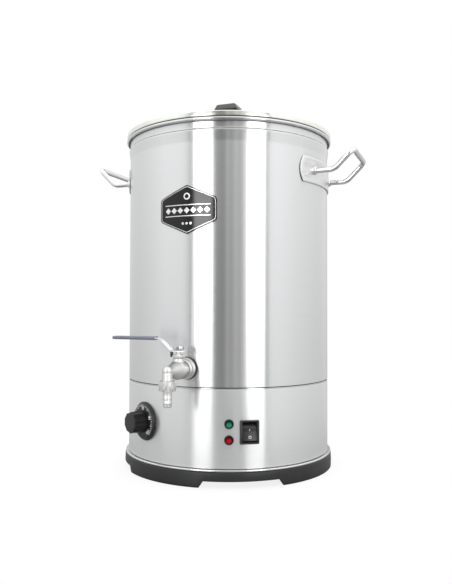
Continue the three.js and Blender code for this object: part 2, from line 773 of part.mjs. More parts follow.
// All of the tap hangs from one group on the wall: -Y outwards, heights from the tap's axis.
function addTap() {
  const tap = wallGroup(kettle, TAP_PLACE);
  const washerHole = TAIL_RADIUS + 0.4;
  addMesh(tap, 'tap_washer_outer', outwards(ring(washerHole, 15, GAP, 3)), SILICONE);
  addMesh(tap, 'tap_washer_inner', outwards(ring(washerHole, 14.5, -4.6, -2.6)), SILICONE);
  const backNut = cut(hexPrism(27, -11, -4.9), disc(washerHole, -14, 0));
  addMesh(tap, 'tap_backnut', outwards(backNut), CAST_STEEL);

  const inlet = turned([
    [TAP_BORE, -20],
    [TAIL_RADIUS, -20],
    [TAIL_RADIUS, 3 + GAP],
    [14.3, 3 + GAP],
    [14.3, 6.4],
    [13.2, 6.9],
    [14, 7.4],
    [14, COLLAR_FACE],
    [CHAMBER_RADIUS - 0.4, COLLAR_FACE],
    [CHAMBER_RADIUS - 0.4, TAP_STEM_REACH - SEAT_REACH],
    [TAP_BORE, TAP_STEM_REACH - SEAT_REACH],
    [TAP_BORE, -20],
  ]);
  addMesh(tap, 'tap_inlet', outwards(inlet), CAST_STEEL);
  addMesh(tap, 'tap_body', tapBody(), CAST_STEEL);

  const seatLength = 2.8;
  const seats = [['tap_seat_back', 0.4 - SEAT_REACH], ['tap_seat_front', SEAT_REACH - 0.4 - seatLength]];
  for (const [name, from] of seats) {
    const start = TAP_STEM_REACH + from;
    const seat = ring(TAP_BORE, CHAMBER_RADIUS - 0.4, start, start + seatLength);
    addMesh(tap, name, outwards(seat), PTFE);
  }
  addTapOutlet(tap);
  addTapValve(tap);
}

// The valve body: ball chamber, neck for the stem, and an elbow down to the spout.
function tapBody() {
  const back = COLLAR_FACE + GAP;
  const chamberEnd = TAP_STEM_REACH + SEAT_REACH;
  const shell = outwards(turned([
    [0, back], [12.6, back], [12.6, back + 2.4], [11.6, back + 3], [11.6, back + 5.5],
    [12.4, TAP_STEM_REACH - 6], [12.4, TAP_STEM_REACH + 5], [SPOUT_RADIUS + 0.8, TAP_SPOUT_REACH - 9],
    [SPOUT_RADIUS, TAP_SPOUT_REACH], [0, TAP_SPOUT_REACH],
  ]));
  const kneeRise = 1.2;
  const knee = new THREE.SphereGeometry(SPOUT_RADIUS, SMALL_SIDES, 12).translate(0, -TAP_SPOUT_REACH, kneeRise);
  const spout = turned([
    [0, -19], [6.4, -19], [6.4, -10.6], [7, -10], [SPOUT_RADIUS - 0.4, kneeRise], [0, kneeRise],
  ]).translate(0, -TAP_SPOUT_REACH, 0);
  const neck = turned([[0, 0], [7.6, 0], [7.6, 11.5], [6.6, 12], [6.6, NECK_TOP], [0, NECK_TOP]])
    .translate(0, -TAP_STEM_REACH, 0);
  const chamber = outwards(disc(CHAMBER_RADIUS, back - 1, chamberEnd));
  const wayOut = outwards(disc(SPOUT_BORE, chamberEnd - 1, TAP_SPOUT_REACH, BORE_SIDES));
  const kneeBore = new THREE.SphereGeometry(SPOUT_BORE, BORE_SIDES, 8).translate(0, -TAP_SPOUT_REACH, 0);
  const wayDown = disc(SPOUT_BORE, -22, 0, BORE_SIDES).translate(0, -TAP_SPOUT_REACH, 0);
  const stemHole = disc(STEM_RADIUS + 0.4, 0, NECK_TOP + 1, BORE_SIDES).translate(0, -TAP_STEM_REACH, 0);
  return cut(join(shell, knee, spout, neck), chamber, wayOut, kneeBore, wayDown, stemHole);
}

// Under the spout: washer, hose tail and the union nut that holds it.
function addTapOutlet(tap) {
  const outlet = new THREE.Group();
  outlet.position.y = -TAP_SPOUT_REACH;
  tap.add(outlet);
  addMesh(outlet, 'hose_washer', ring(4.6, 6.6, -20.4, -19.3), SILICONE);
  const barb = (top) => [[5.3, top - 5.6], [6.3, top - 4.8], [5.3, top]];
  const tailProfile = [
    [3.8, -43.5],
    [4.6, -43.5],
    [5.3, -42.6],
    ...barb(-34),
    ...barb(-28.4),
    [5.3, -21.9],
    [6.6, -21.9],
    [6.6, -20.7],
    [3.8, -20.7],
    [3.8, -43.5],
  ];
  addMesh(outlet, 'hose_tail', turned(tailProfile), CAST_STEEL);
  const nut = cut(hexPrism(UNION_NUT_FLATS, -23.4, -11), disc(7.1, -22.2, -5), disc(5.8, -30, -20));
  addMesh(outlet, 'hose_nut', nut, CAST_STEEL);
}

// The turning parts: ball, stem and lever, with the fixed gland nut around the stem.
function addTapValve(tap) {
  const valve = new THREE.Group();
  valve.position.y = -TAP_STEM_REACH;
  tap.add(valve);
  const gland = cut(hexPrism(13, NECK_TOP + GAP, 20), disc(STEM_RADIUS + 0.4, 10, 24, BORE_SIDES));
  addMesh(valve, 'tap_gland_nut', gland, CAST_STEEL);

  const sphere = new THREE.SphereGeometry(BALL_RADIUS, BORE_SIDES, 10).rotateX(Math.PI / 2);
  const ballBore = disc(5, -12, 12, BORE_SIDES).rotateY(Math.PI / 2);
  const slot = box(4, 1.8, 3, 0, 0, BALL_RADIUS - 0.4);
  addMesh(valve, 'tap_ball', cut(sphere, ballBore, slot), POLISHED_STEEL);

  const stemBottom = BALL_RADIUS + GAP;
  const stem = join(
    disc(STEM_RADIUS, stemBottom, LEVER_HUB + 9.5, BORE_SIDES),
    box(3.2, 1.2, 2, 0, 0, stemBottom - 0.4),
  );
  addMesh(valve, 'tap_stem', stem, POLISHED_STEEL);
  const nut = cut(
    hexPrism(12, LEVER_HUB + LEVER_THICKNESS + GAP, LEVER_HUB + 8),
    disc(STEM_RADIUS + GAP, LEVER_HUB, LEVER_HUB + 12, BORE_SIDES),
  );
  addMesh(valve, 'lever_nut', nut, POLISHED_STEEL);
  addMesh(valve, 'tap_lever', leverStrip(), POLISHED_STEEL);
  addMesh(valve, 'lever_sleeve', leverSleeve(), VINYL);
}

// A dipped sleeve with rounded edges over the end of the lever.
function leverSleeve() {
  const outline = new THREE.Shape();
  const [halfWidth, halfThick] = [6.6, 2.3];
  outline.moveTo(-halfWidth + halfThick, -halfThick);
  outline.lineTo(halfWidth - halfThick, -halfThick);
  outline.absarc(halfWidth - halfThick, 0, halfThick, -Math.PI / 2, Math.PI / 2);
  outline.lineTo(-halfWidth + halfThick, halfThick);
  outline.absarc(-halfWidth + halfThick, 0, halfThick, Math.PI / 2, 1.5 * Math.PI);
  const length = LEVER_LENGTH - SLEEVE_START;
  const sleeve = new THREE.ExtrudeGeometry(outline, { depth: length, curveSegments: 4, bevelEnabled: false })
    .rotateY(-Math.PI / 2).rotateX(Math.PI / 2).translate(-SLEEVE_START, 0, LEVER_GRIP_HEIGHT);
  const closedEnd = 2;
  const middle = -SLEEVE_START - length / 2 + closedEnd;
  const hollow = box(length, LEVER_WIDTH + 2 * GAP, LEVER_THICKNESS + 2 * GAP, middle, 0, LEVER_GRIP_HEIGHT);
  return cut(sleeve, hollow);
}

// A steel strip: a hub around the stem, a slope up and a straight grip, with a stop tab beside the neck.
function leverStrip() {
  const grip = LEVER_GRIP_HEIGHT;
  const hub = LEVER_HUB;
  const end = -LEVER_LENGTH + 4;
  const half = LEVER_THICKNESS / 2;
  const outline = new THREE.Shape([
    new THREE.Vector2(8, hub),
    new THREE.Vector2(8, hub + LEVER_THICKNESS),
    new THREE.Vector2(-10.4, hub + LEVER_THICKNESS),
    new THREE.Vector2(-26.6, grip + half),
    new THREE.Vector2(end, grip + half),
    new THREE.Vector2(end, grip - half),
    new THREE.Vector2(-25.8, grip - half),
    new THREE.Vector2(-9.6, hub),
  ]);
  const strip = new THREE.ExtrudeGeometry(outline, { depth: LEVER_WIDTH, bevelEnabled: false })
    .translate(0, 0, -LEVER_WIDTH / 2).rotateX(Math.PI / 2);
  const stopTab = box(1.6, 6, 6.6, -9.4, 0, hub - 3);
  const stemHole = disc(STEM_RADIUS + GAP, hub - 5, hub + 5, BORE_SIDES);
  return cut(join(strip, stopTab), stemHole);
}

// ---------------------------------------------------------------- controls on the housing
const SKIRT_RADIUS = 26.5;
const GRIP_RADIUS = 14.5;
const KNOB_REACH = 26;

function addThermostat() {
  const station = wallGroup(kettle, HOUSING_CONTROLS.thermostat);
  const lobes = 10;
  const rim = [];
  for (let i = 0; i < lobes * 4; i += 1) {
    const angle = (2 * Math.PI * i) / (lobes * 4);
    const radius = GRIP_RADIUS - 0.5 * (1 - Math.cos(lobes * angle));
    rim.push([radius, angle]);
  }
  const gripLoop = (height, scale) => rim.map(([radius, angle]) => (
    new THREE.Vector3(radius * scale * Math.cos(angle), radius * scale * Math.sin(angle), height)
  ));
  const grip = lofted([gripLoop(4, 1.06), gripLoop(KNOB_REACH - 1, 0.97), gripLoop(KNOB_REACH, 0.9)]);
  // The skirt is a shallow cone, hollow behind so that it clears the heads of the two screws.
  const skirt = turned([
    [0, 3], [SKIRT_RADIUS - 4.5, 3], [SKIRT_RADIUS - 1.5, 0.8], [SKIRT_RADIUS, 0.8], [SKIRT_RADIUS, 1.8],
    [SKIRT_RADIUS - 3.5, 5], [0, 5],
  ], 40);
  const shaftHole = disc(3.4, 0, 21, BORE_SIDES);
  addMesh(station, 'thermostat_knob', outwards(cut(join(skirt, grip), shaftHole)), BLACK_PLASTIC);
  addMesh(station, 'thermostat_shaft', outwards(disc(3, -3, 20, BORE_SIDES)), ZINC);

  const body = box(36, 26, 44, 0, 16.5, 0);
  addMesh(station, 'thermostat_body', body, WHITE_PLASTIC);
  for (const [name, side] of [['thermostat_screw_lower', -1], ['thermostat_screw_upper', 1]]) {
    const screw = turned([[0, -3.1], [1.9, -3.1], [1.9, GAP], [3.4, GAP], [3.4, 1.6], [2, 2.2], [0, 2.2]], 12);
    addMesh(station, name, outwards(screw).translate(0, 0, side * THERMOSTAT_SCREW_OFFSET), ZINC);
  }
  addThermostatBulb();
}

// The liquid-filled bulb under the floor, with its capillary down to the thermostat.
function addThermostatBulb() {
  const { azimuth, height } = HOUSING_CONTROLS.thermostat;
  const bulbRadius = 3;
  const bulbCircle = 116;           // how far from the kettle's axis the bulb lies
  const bulbSpan = 32;              // degrees from end to end
  const tubeRadius = 1.2;
  const tubeCircle = 131;
  const tubeLead = 20;              // degrees from the thermostat to the bulb
  const bulbHeight = FLOOR_HEIGHT - GAP - bulbRadius - 0.2;
  const around = (radius, degrees, z) => new THREE.Vector3(...aroundKettle(radius, degrees), z);
  const path = new THREE.CatmullRomCurve3([
    around(tubeCircle + 1, azimuth, height + 22 + GAP),
    around(tubeCircle, azimuth, height + 34),
    around((tubeCircle + bulbCircle) / 2, azimuth + tubeLead * 0.3, bulbHeight - 8),
    around(bulbCircle + 1, azimuth + tubeLead * 0.7, bulbHeight),
    around(bulbCircle, azimuth + tubeLead * 1.1, bulbHeight),
  ]);
  const bulbStart = around(bulbCircle, azimuth + tubeLead, bulbHeight);
  const direction = around(bulbCircle, azimuth + tubeLead + bulbSpan, bulbHeight).sub(bulbStart);
  const length = direction.length();
  const bulb = disc(bulbRadius, 0, length, 12)
    .rotateY(Math.PI / 2)
    .rotateZ(Math.atan2(direction.y, direction.x))
    .translate(bulbStart.x, bulbStart.y, bulbStart.z);
  addMesh(kettle, 'thermostat_bulb', join(sweptBar(path, tubeRadius, 12, 6), bulb), COPPER);
}

function addLamp(colour, lensMaterial, place) {
  const station = wallGroup(kettle, place);
  const body = turned([
    [0, -14], [3.6, -14], [3.6, -9], [LAMP_BARREL, -9], [LAMP_BARREL, GAP], [6.3, GAP], [6.3, 1.6],
    [5.6, 2.4], [4.8, 2.4], [4.6, 1], [0, 1],
  ], 20);
  addMesh(station, `${colour}_lamp_body`, outwards(body), DARK_PLASTIC);
  const lens = turned([[0, 1.3], [4.2, 1.3], [4.3, 2.4], [3.4, 3.6], [1.6, 4.4], [0, 4.6]], 12);
  addMesh(station, `${colour}_lamp_lens`, outwards(lens), lensMaterial);
}

// A snap-in switch. The rocker is drawn as it rests: tipped about its pivot, with the upper half pushed in.
function addSwitch() {
  const station = wallGroup(kettle, HOUSING_CONTROLS.powerSwitch);
  const bezel = box(25.5, 2.2, 31, 0, -1.1 - GAP, 0);
  const backDepth = 22;
  const body = box(SWITCH_BODY.width, backDepth, SWITCH_BODY.height, 0, backDepth / 2 - 1, 0);
  const pocket = box(19.4, 22, 26.8, 0, 3, 0);
  addMesh(station, 'switch_housing', cut(join(bezel, body), pocket), DARK_PLASTIC);

  const pivotDepth = 3;
  const tip = -9;
  const upper = new THREE.Vector2(pivotDepth + 2.9, 11.9);
  const outline = new THREE.Shape([
    new THREE.Vector2(pivotDepth + 0.6, 0),
    upper,
    new THREE.Vector2(upper.x - 3, upper.y + 0.3),
    new THREE.Vector2(-2, 9.6),
    new THREE.Vector2(-4, 0),
    new THREE.Vector2(-2, -9.6),
    new THREE.Vector2(upper.x - 3, -upper.y - 0.3),
    new THREE.Vector2(upper.x, -upper.y),
  ]);
  const width = 18.6;
  const rocker = new THREE.ExtrudeGeometry(outline, { depth: width, bevelEnabled: false })
    .translate(0, 0, -width / 2)
    .rotateY(Math.PI / 2)
    .rotateX(Math.PI / 2);
  const mesh = addMesh(station, 'switch_rocker', rocker, DARK_PLASTIC);
  mesh.position.y = pivotDepth;
  mesh.rotation.x = THREE.MathUtils.degToRad(tip);
}

addVesselWall();
addVesselFloor();
addLowerHousing();
addBasePan();
addFootRing();
addFootScrews();
addHeater();
addWiring();
addLid();
addHandles();
addBadge();
addTap();
addThermostat();
addLamp('green', GREEN_LENS, HOUSING_CONTROLS.greenLamp);
addLamp('red', RED_LENS, HOUSING_CONTROLS.redLamp);
addSwitch();

const model = new THREE.Group();
model.add(kettle);
export default model;
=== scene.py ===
"""Looks for the brew kettle: smooth visible pieces, procedural materials, a pale studio and the camera.

Lengths inside the builders are millimetres from the kettle's own axis. make() turns them into metres in the
frame. Azimuths are degrees round the kettle from its front, towards +X.
"""
import math

import bmesh
import bpy
from mathutils import Matrix, Vector


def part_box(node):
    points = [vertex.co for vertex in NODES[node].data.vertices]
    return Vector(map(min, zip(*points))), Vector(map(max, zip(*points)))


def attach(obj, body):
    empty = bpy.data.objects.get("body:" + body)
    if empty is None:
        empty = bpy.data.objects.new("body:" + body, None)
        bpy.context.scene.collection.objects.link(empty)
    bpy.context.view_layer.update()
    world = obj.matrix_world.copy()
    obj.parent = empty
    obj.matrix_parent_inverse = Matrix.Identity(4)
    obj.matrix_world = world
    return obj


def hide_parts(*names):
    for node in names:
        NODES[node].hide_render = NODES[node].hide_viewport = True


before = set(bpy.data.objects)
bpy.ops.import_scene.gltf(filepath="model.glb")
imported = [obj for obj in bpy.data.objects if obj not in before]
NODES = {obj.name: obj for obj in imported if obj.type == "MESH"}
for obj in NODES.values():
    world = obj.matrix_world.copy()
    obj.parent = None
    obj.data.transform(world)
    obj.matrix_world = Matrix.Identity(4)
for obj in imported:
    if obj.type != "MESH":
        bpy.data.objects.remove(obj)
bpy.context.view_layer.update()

MM = 0.001


def box_centre(node):
    low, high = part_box(node)
    return (low + high) / 2


AXIS = Vector((box_centre("vessel_wall").x, box_centre("vessel_wall").y, 0))


def local_box(node):
    """Lowest and highest corner of a CAD node in millimetres from the kettle's axis."""
    low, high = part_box(node)
    return (low - AXIS) / MM, (high - AXIS) / MM


def bearing(node):
    """Azimuth of a CAD node's middle."""
    centre = box_centre(node) - AXIS
    return math.degrees(math.atan2(centre.x, -centre.y))


def middle_height(node):
    low, high = local_box(node)
    return (low.z + high.z) / 2


def wall_place(node):
    """Azimuth and height of a CAD node's middle."""
    return bearing(node), middle_height(node)


BODY_RADIUS = local_box("lower_housing")[1].x
RIM_TOP = local_box("vessel_wall")[1].z
BEAD_TOP = RIM_TOP - 14.1
BEAD_BOTTOM = RIM_TOP - 24.4
SHEET = 1.2
ROUND = 192                         # sides of the pieces that go right round the kettle
SMALL_ROUND = 64


# ---------------------------------------------------------------- mesh parts: (vertices, faces)
def circle_point(radius, azimuth, height=0.0):
    angle = math.radians(azimuth)
    return Vector((radius * math.sin(angle), -radius * math.cos(angle), height))


def polar(radius, angle, height):
    """A point in a turned piece's own frame. The angle is in radians from +X."""
    return Vector((radius * math.cos(angle), radius * math.sin(angle), height))


def full_turn(steps):
    return [2 * math.pi * i / steps for i in range(steps)]


def softened(profile, radius, closed=True, steps=3):
    """Rounds the corners of an outline. Points with radius 0 lie on the axis and stay sharp."""
    points = [Vector(point) for point in profile]
    count = len(points)
    result = []
    for i, point in enumerate(points):
        ends = not closed and i in (0, count - 1)
        if ends or point.x == 0:
            result.append(point)
            continue
        before = points[i - 1] - point
        after = points[(i + 1) % count] - point
        reach = min(radius, 0.45 * before.length, 0.45 * after.length)
        if before.length < 1e-6 or after.length < 1e-6 or abs(before.angle(after) - math.pi) < 0.05:
            result.append(point)
            continue
        start = point + before.normalized() * reach
        end = point + after.normalized() * reach
        for step in range(steps + 1):
            t = step / steps
            result.append(start * (1 - t) ** 2 + point * 2 * t * (1 - t) + end * t ** 2)
    return result


def turned(profile, sides=SMALL_ROUND, soft=0.0):
    """Turns an outline of (radius, height) about Z. It closes on itself, or starts and ends on the axis."""
    on_axis = profile[0][0] == 0
    outline = softened(profile, soft, closed=not on_axis) if soft else [Vector(p) for p in profile]
    vertices, rings = [], []
    for point in outline:
        if point.x == 0:
            rings.append([len(vertices)] * sides)
            vertices.append(Vector((0, 0, point.y)))
            continue
        rings.append(list(range(len(vertices), len(vertices) + sides)))
        vertices += [polar(point.x, angle, point.y) for angle in full_turn(sides)]
    faces = []
    pairs = list(zip(rings, rings[1:]))
    if not on_axis:
        pairs.append((rings[-1], rings[0]))
    for lower, upper in pairs:
        for i in range(sides):
            j = (i + 1) % sides
            corners = []
            for corner in (lower[i], lower[j], upper[j], upper[i]):
                if corner not in corners:
                    corners.append(corner)
            if len(corners) > 2:
                faces.append(corners)
    return vertices, faces


def cylinder(radius, bottom, top, sides=SMALL_ROUND):
    return turned([(0, bottom), (radius, bottom), (radius, top), (0, top)], sides)


def ring(inner, outer, bottom, top, sides=SMALL_ROUND, soft=0.0):
    return turned([(inner, bottom), (outer, bottom), (outer, top), (inner, top)], sides, soft)


def lofted(loops):
    """Skins closed loops of equal length and caps both ends."""
    count = len(loops[0])
    vertices = [Vector(point) for loop in loops for point in loop]
    faces = []
    for level in range(len(loops) - 1):
        for i in range(count):
            j = (i + 1) % count
            base = level * count
            faces.append([base + i, base + j, base + count + j, base + count + i])
    faces.append(list(reversed(range(count))))
    faces.append(list(range((len(loops) - 1) * count, len(loops) * count)))
    return vertices, faces


def swept(points, radius, sides=24):
    """A round bar along a list of points."""
    loops = []
    side = None
    for i, point in enumerate(points):
        before = points[max(i - 1, 0)]
        after = points[min(i + 1, len(points) - 1)]
        tangent = (after - before).normalized()
        if side is None:
            side = tangent.orthogonal().normalized()
        side = (side - tangent * side.dot(tangent)).normalized()
        other = tangent.cross(side)
        loops.append([
            point + (side * math.cos(a) + other * math.sin(a)) * radius
            for a in full_turn(sides)
        ])
    return lofted(loops)


def merged(*parts):
    vertices, faces = [], []
    for part_vertices, part_faces in parts:
        offset = len(vertices)
        vertices += part_vertices
        faces += [[index + offset for index in face] for face in part_faces]
    return vertices, faces


def moved(part, matrix):
    vertices, faces = part
    return [matrix @ vertex for vertex in vertices], faces


def shifted(part, x=0.0, y=0.0, z=0.0):
    return moved(part, Matrix.Translation((x, y, z)))


def outwards(part):
    """Lays a piece that was drawn upwards along -Y, which is away from the wall at the kettle's front."""
    return moved(part, Matrix.Rotation(math.radians(90), 4, "X"))


def on_wall(part, azimuth, height):
    """Moves a piece drawn at the wall's front, with its origin on the wall, to a place round the kettle."""
    place = Matrix.Rotation(math.radians(azimuth), 4, "Z") @ Matrix.Translation((0, -BODY_RADIUS, height))
    return moved(part, place)


def hex_nut(flats, bottom, top, hole, chamfer=1.0, turn=0.0):
    """A hexagon nut whose corners are chamfered by a cone, with a round hole."""
    sides = 72
    angles = full_turn(sides)

    def hexagon(angle, limit):
        from_flat = (angle - turn + math.pi / 6) % (math.pi / 3) - math.pi / 6
        return min(flats / 2 / math.cos(from_flat), limit)

    corner = flats / math.sqrt(3)
    end = flats / 2 * 0.99
    levels = [(bottom, end), (bottom + chamfer, corner), (top - chamfer, corner), (top, end)]
    loops = [[polar(hexagon(a, limit), a, z) for a in angles] for z, limit in levels]
    bore = ((top, hole + 0.5), (top - 0.6, hole), (bottom + 0.6, hole), (bottom, hole + 0.5))
    loops += [[polar(radius, a, z) for a in angles] for z, radius in bore]
    vertices = [point for loop in loops for point in loop]
    faces = []
    for level in range(len(loops)):
        upper = (level + 1) % len(loops)
        for i in range(sides):
            j = (i + 1) % sides
            faces.append([level * sides + i, level * sides + j, upper * sides + j, upper * sides + i])
    return vertices, faces


def slab(outline, bottom, top):
    """A flat plate of any outline, between two heights."""
    return lofted([[Vector((x, y, bottom)) for x, y in outline], [Vector((x, y, top)) for x, y in outline]])


def rounded_rectangle(width, height, corner, steps=6):
    outline = []
    for quarter, (sx, sy) in enumerate(((1, 1), (-1, 1), (-1, -1), (1, -1))):
        middle = Vector((sx * (width / 2 - corner), sy * (height / 2 - corner)))
        for step in range(steps + 1):
            angle = math.radians(90 * quarter + 90 * step / steps)
            outline.append((middle.x + corner * math.cos(angle), middle.y + corner * math.sin(angle)))
    return outline


# ---------------------------------------------------------------- objects
def make(name, part, material, body, replaces=(), cutters=(), voxel=0.0, union=False,
         bevel=0.0, segments=2, sharp=35.0):
    """Makes one piece from a part in millimetres, gives it its finish and hangs it on its CAD body.

    cutters are parts that are taken away. union first joins the loose shells of the part. voxel, a size in
    millimetres, melts everything into one cast skin.
    """
    piece = new_piece(name, part)
    if union or voxel:
        remesh = piece.modifiers.new("One skin", "REMESH" if voxel else "BOOLEAN")
        if voxel:
            remesh.mode = "VOXEL"
            remesh.voxel_size = voxel * MM
        else:
            remesh.operation = "UNION"
            remesh.operand_type = "COLLECTION"
            remesh.use_self = True
            remesh.collection = bpy.data.collections.new("Nothing")
        apply_modifiers(piece)
    tools = [new_piece("cutter", cutter) for cutter in cutters]
    for tool in tools:
        cut = piece.modifiers.new("Cut", "BOOLEAN")
        cut.operation = "DIFFERENCE"
        cut.solver = "EXACT"
        cut.object = tool
    if voxel:
        smooth = piece.modifiers.new("Cast fillets", "SMOOTH")
        smooth.iterations = 8
        smooth.factor = 0.5
    if bevel:
        modifier = piece.modifiers.new("Soft edges", "BEVEL")
        modifier.width = bevel * MM
        modifier.segments = segments
        modifier.limit_method = "ANGLE"
        modifier.angle_limit = math.radians(30)
    apply_modifiers(piece)
    for tool in tools:
        bpy.data.objects.remove(tool)
    finish_mesh(piece, material, sharp)
    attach(piece, body)
    if replaces:
        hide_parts(*replaces)
    return piece


def new_piece(name, part):
    vertices, faces = part
    mesh = bpy.data.meshes.new(name)
    mesh.from_pydata([AXIS + vertex * MM for vertex in vertices], [], faces)
    fix = bmesh.new()
    fix.from_mesh(mesh)
    bmesh.ops.remove_doubles(fix, verts=fix.verts, dist=1e-7)
    bmesh.ops.recalc_face_normals(fix, faces=fix.faces)
    fix.to_mesh(mesh)
    fix.free()
    piece = bpy.data.objects.new(name, mesh)
    bpy.context.scene.collection.objects.link(piece)
    return piece


def apply_modifiers(piece):
    depsgraph = bpy.context.evaluated_depsgraph_get()
    piece.data = bpy.data.meshes.new_from_object(piece.evaluated_get(depsgraph))
    piece.modifiers.clear()


def finish_mesh(piece, material, sharp):
    piece.data.materials.clear()
    piece.data.materials.append(material)
    piece.data.shade_smooth()
    piece.data.set_sharp_from_angle(angle=math.radians(sharp))


# ---------------------------------------------------------------- materials
NOISE_SPREAD = (0.3, 0.7)           # nearly all values of a noise texture lie between these


def shader(material):
    return material.node_tree.nodes["Principled BSDF"]


def plug(tree, value, socket):
    """Gives a socket a fixed value, or links it to another node's output."""
    if isinstance(value, bpy.types.NodeSocket):
        tree.links.new(value, socket)
    else:
        socket.default_value = value


def add_node(tree, kind, *values, operation=None, **named):
    """Adds a shader node. values fill its sockets in order, named ones by name with _ for a space."""
    node = tree.nodes.new(f"ShaderNode{kind}")
    if operation:
        node.operation = operation
    for socket, value in zip(node.inputs, values):
        plug(tree, value, socket)
    for name, value in named.items():
        plug(tree, value, node.inputs[name.replace("_", " ")])
    return node


def mapped(tree, source, start, end, low=0.0, high=1.0):
    """Carries a value from one range to another, and holds it at the ends."""
    return add_node(tree, "MapRange", source, start, end, low, high).outputs["Result"]


def mixed(tree, blend, factor, first, second):
    node = tree.nodes.new("ShaderNodeMix")
    node.data_type = "RGBA"
    node.blend_type = blend
    for name, value in (("Factor", factor), ("A", first), ("B", second)):
        plug(tree, value, node.inputs[name])
    return node.outputs["Result"]


def new_material(name, colour, roughness, metallic=0.0, **fixed):
    material = bpy.data.materials.new(name)
    material.use_nodes = True
    values = {"Base Color": (*colour, 1), "Roughness": roughness, "Metallic": metallic}
    values.update({socket.replace("_", " "): value for socket, value in fixed.items()})
    for socket, value in values.items():
        shader(material).inputs[socket].default_value = value
    return material


def noise(material, scale, stretch=(1, 1, 1), detail=4.0):
    """A noise texture in object space. scale is in features per metre."""
    tree = material.node_tree
    place = add_node(tree, "TexCoord").outputs["Object"]
    mapping = add_node(tree, "Mapping", Vector=place, Scale=[scale * s for s in stretch])
    texture = add_node(tree, "TexNoise", Vector=mapping.outputs["Vector"], Scale=1, Detail=detail)
    return texture.outputs["Fac"]


def vary_colour(material, source, darker, lighter):
    """Mixes the base colour between two shares of itself by a noise."""
    tree = material.node_tree
    base = shader(material).inputs["Base Color"]
    ramp = add_node(tree, "ValToRGB", source)
    for element, position, share in zip(ramp.color_ramp.elements, NOISE_SPREAD, (darker, lighter)):
        element.position = position
        element.color = [min(1, c * share) for c in base.default_value[:3]] + [1]
    plug(tree, ramp.outputs["Color"], base)


def vary_roughness(material, source, low, high):
    tree = material.node_tree
    plug(tree, mapped(tree, source, *NOISE_SPREAD, low, high), shader(material).inputs["Roughness"])


def add_bump(material, source, height, strength):
    """height is the real depth of the relief, in metres."""
    tree = material.node_tree
    bump = add_node(tree, "Bump", Strength=strength, Distance=height, Height=source)
    plug(tree, bump.outputs["Normal"], shader(material).inputs["Normal"])


def add_edge_wear(material, colour, amount):
    """Lightens the outer edges, where a moulding or a coating rubs."""
    tree = material.node_tree
    base = shader(material).inputs["Base Color"]
    edge = mapped(tree, add_node(tree, "NewGeometry").outputs["Pointiness"], 0.52, 0.62, 0, amount)
    plug(tree, mixed(tree, "MIX", edge, base.links[0].from_socket, (*colour, 1)), base)


def looking(tree, direction):
    """How far the surface looks along a direction, from -1 to 1."""
    normal = add_node(tree, "NewGeometry").outputs["Normal"]
    return add_node(tree, "VectorMath", normal, direction, operation="DOT_PRODUCT").outputs["Value"]


def scale_colour(material, share):
    """Multiplies the base colour by a share that varies over the surface, and gives the result."""
    tree = material.node_tree
    base = shader(material).inputs["Base Color"]
    scaled = add_node(tree, "VectorMath", base.links[0].from_socket, operation="SCALE", Scale=share)
    plug(tree, scaled.outputs["Vector"], base)
    return scaled.outputs["Vector"]


def paint_bearing_light_and_shade(material, azimuth, flank_shade, back):
    """Paints light and shade into the colour by the bearing a surface looks along: the colour stays on
    surfaces that look along it, painted shade takes a share of it beside, and a painted light gives a share
    of it behind.
    """
    tree = material.node_tree
    along = looking(tree, circle_point(1, azimuth))
    front = mapped(tree, along, 0.35, 0.9, flank_shade, 1)
    behind = mapped(tree, along, -0.6, -0.9, 0, back)
    scale_colour(material, add_node(tree, "Math", front, behind, operation="MAXIMUM").outputs[0])


def paint_grazing_shade(material, darkest, start):
    """Paints shade into the base colour where metal turns away from the eye, standing in for the unlit side
    of the room that it mirrors there.
    """
    tree = material.node_tree
    turned_away = add_node(tree, "LayerWeight", Blend=0.5).outputs["Facing"]
    # The share goes from full colour to the darkest share of it as the surface turns away: painted shade.
    scale_colour(material, mapped(tree, turned_away, start, 0.97, 1, darkest))


def brushed_steel(name, tone, roughness, anisotropy, metallic=1.0):
    """Sheet that was brushed round the kettle, so that reflections smear up and down."""
    quarter_turn = 0.25
    material = new_material(
        name, tone, roughness, metallic, Anisotropic=anisotropy, Anisotropic_Rotation=quarter_turn,
    )
    tangent = add_node(material.node_tree, "Tangent")
    tangent.direction_type = "RADIAL"
    tangent.axis = "Z"
    plug(material.node_tree, tangent.outputs["Tangent"], shader(material).inputs["Tangent"])
    lines = noise(material, 9, (1, 1, 380), 3.0)
    vary_colour(material, lines, 0.97, 1.02)
    vary_roughness(material, lines, roughness * 0.94, roughness * 1.06)
    add_bump(material, lines, 0.000002, 0.3)
    return material


def polished_steel(name="polished_steel", tone=(0.74, 0.74, 0.75), roughness=0.14):
    material = new_material(name, tone, roughness, 1.0)
    smears = noise(material, 90, detail=5.0)
    vary_colour(material, smears, 0.95, 1.03)
    vary_roughness(material, smears, roughness * 0.7, roughness * 1.35)
    return material


def cast_steel():
    material = new_material("cast_steel", (0.73, 0.73, 0.72), 0.36, 1.0)
    grain = noise(material, 900, detail=6.0)
    vary_colour(material, grain, 0.9, 1.05)
    vary_roughness(material, grain, 0.3, 0.44)
    add_bump(material, grain, 0.00012, 0.35)
    return material


def plain_metal(name, tone, roughness):
    material = new_material(name, tone, roughness, 1.0)
    grain = noise(material, 600)
    vary_colour(material, grain, 0.85, 1.1)
    vary_roughness(material, grain, roughness * 0.8, roughness * 1.2)
    return material


def moulded(name, colour, roughness, grain_size=1400, relief=0.00008, wear=0.0, gloss=0.5):
    """Moulded plastic or rubber with a fine spark-eroded texture."""
    material = new_material(name, colour, roughness, Specular_IOR_Level=gloss)
    grain = noise(material, grain_size, detail=3.0)
    vary_colour(material, noise(material, 60), 0.88, 1.12)
    vary_roughness(material, grain, roughness * 0.85, roughness * 1.15)
    add_bump(material, grain, relief, 0.4)
    if wear:
        add_edge_wear(material, [min(1, c * 2.5 + 0.05) for c in colour], wear)
    return material


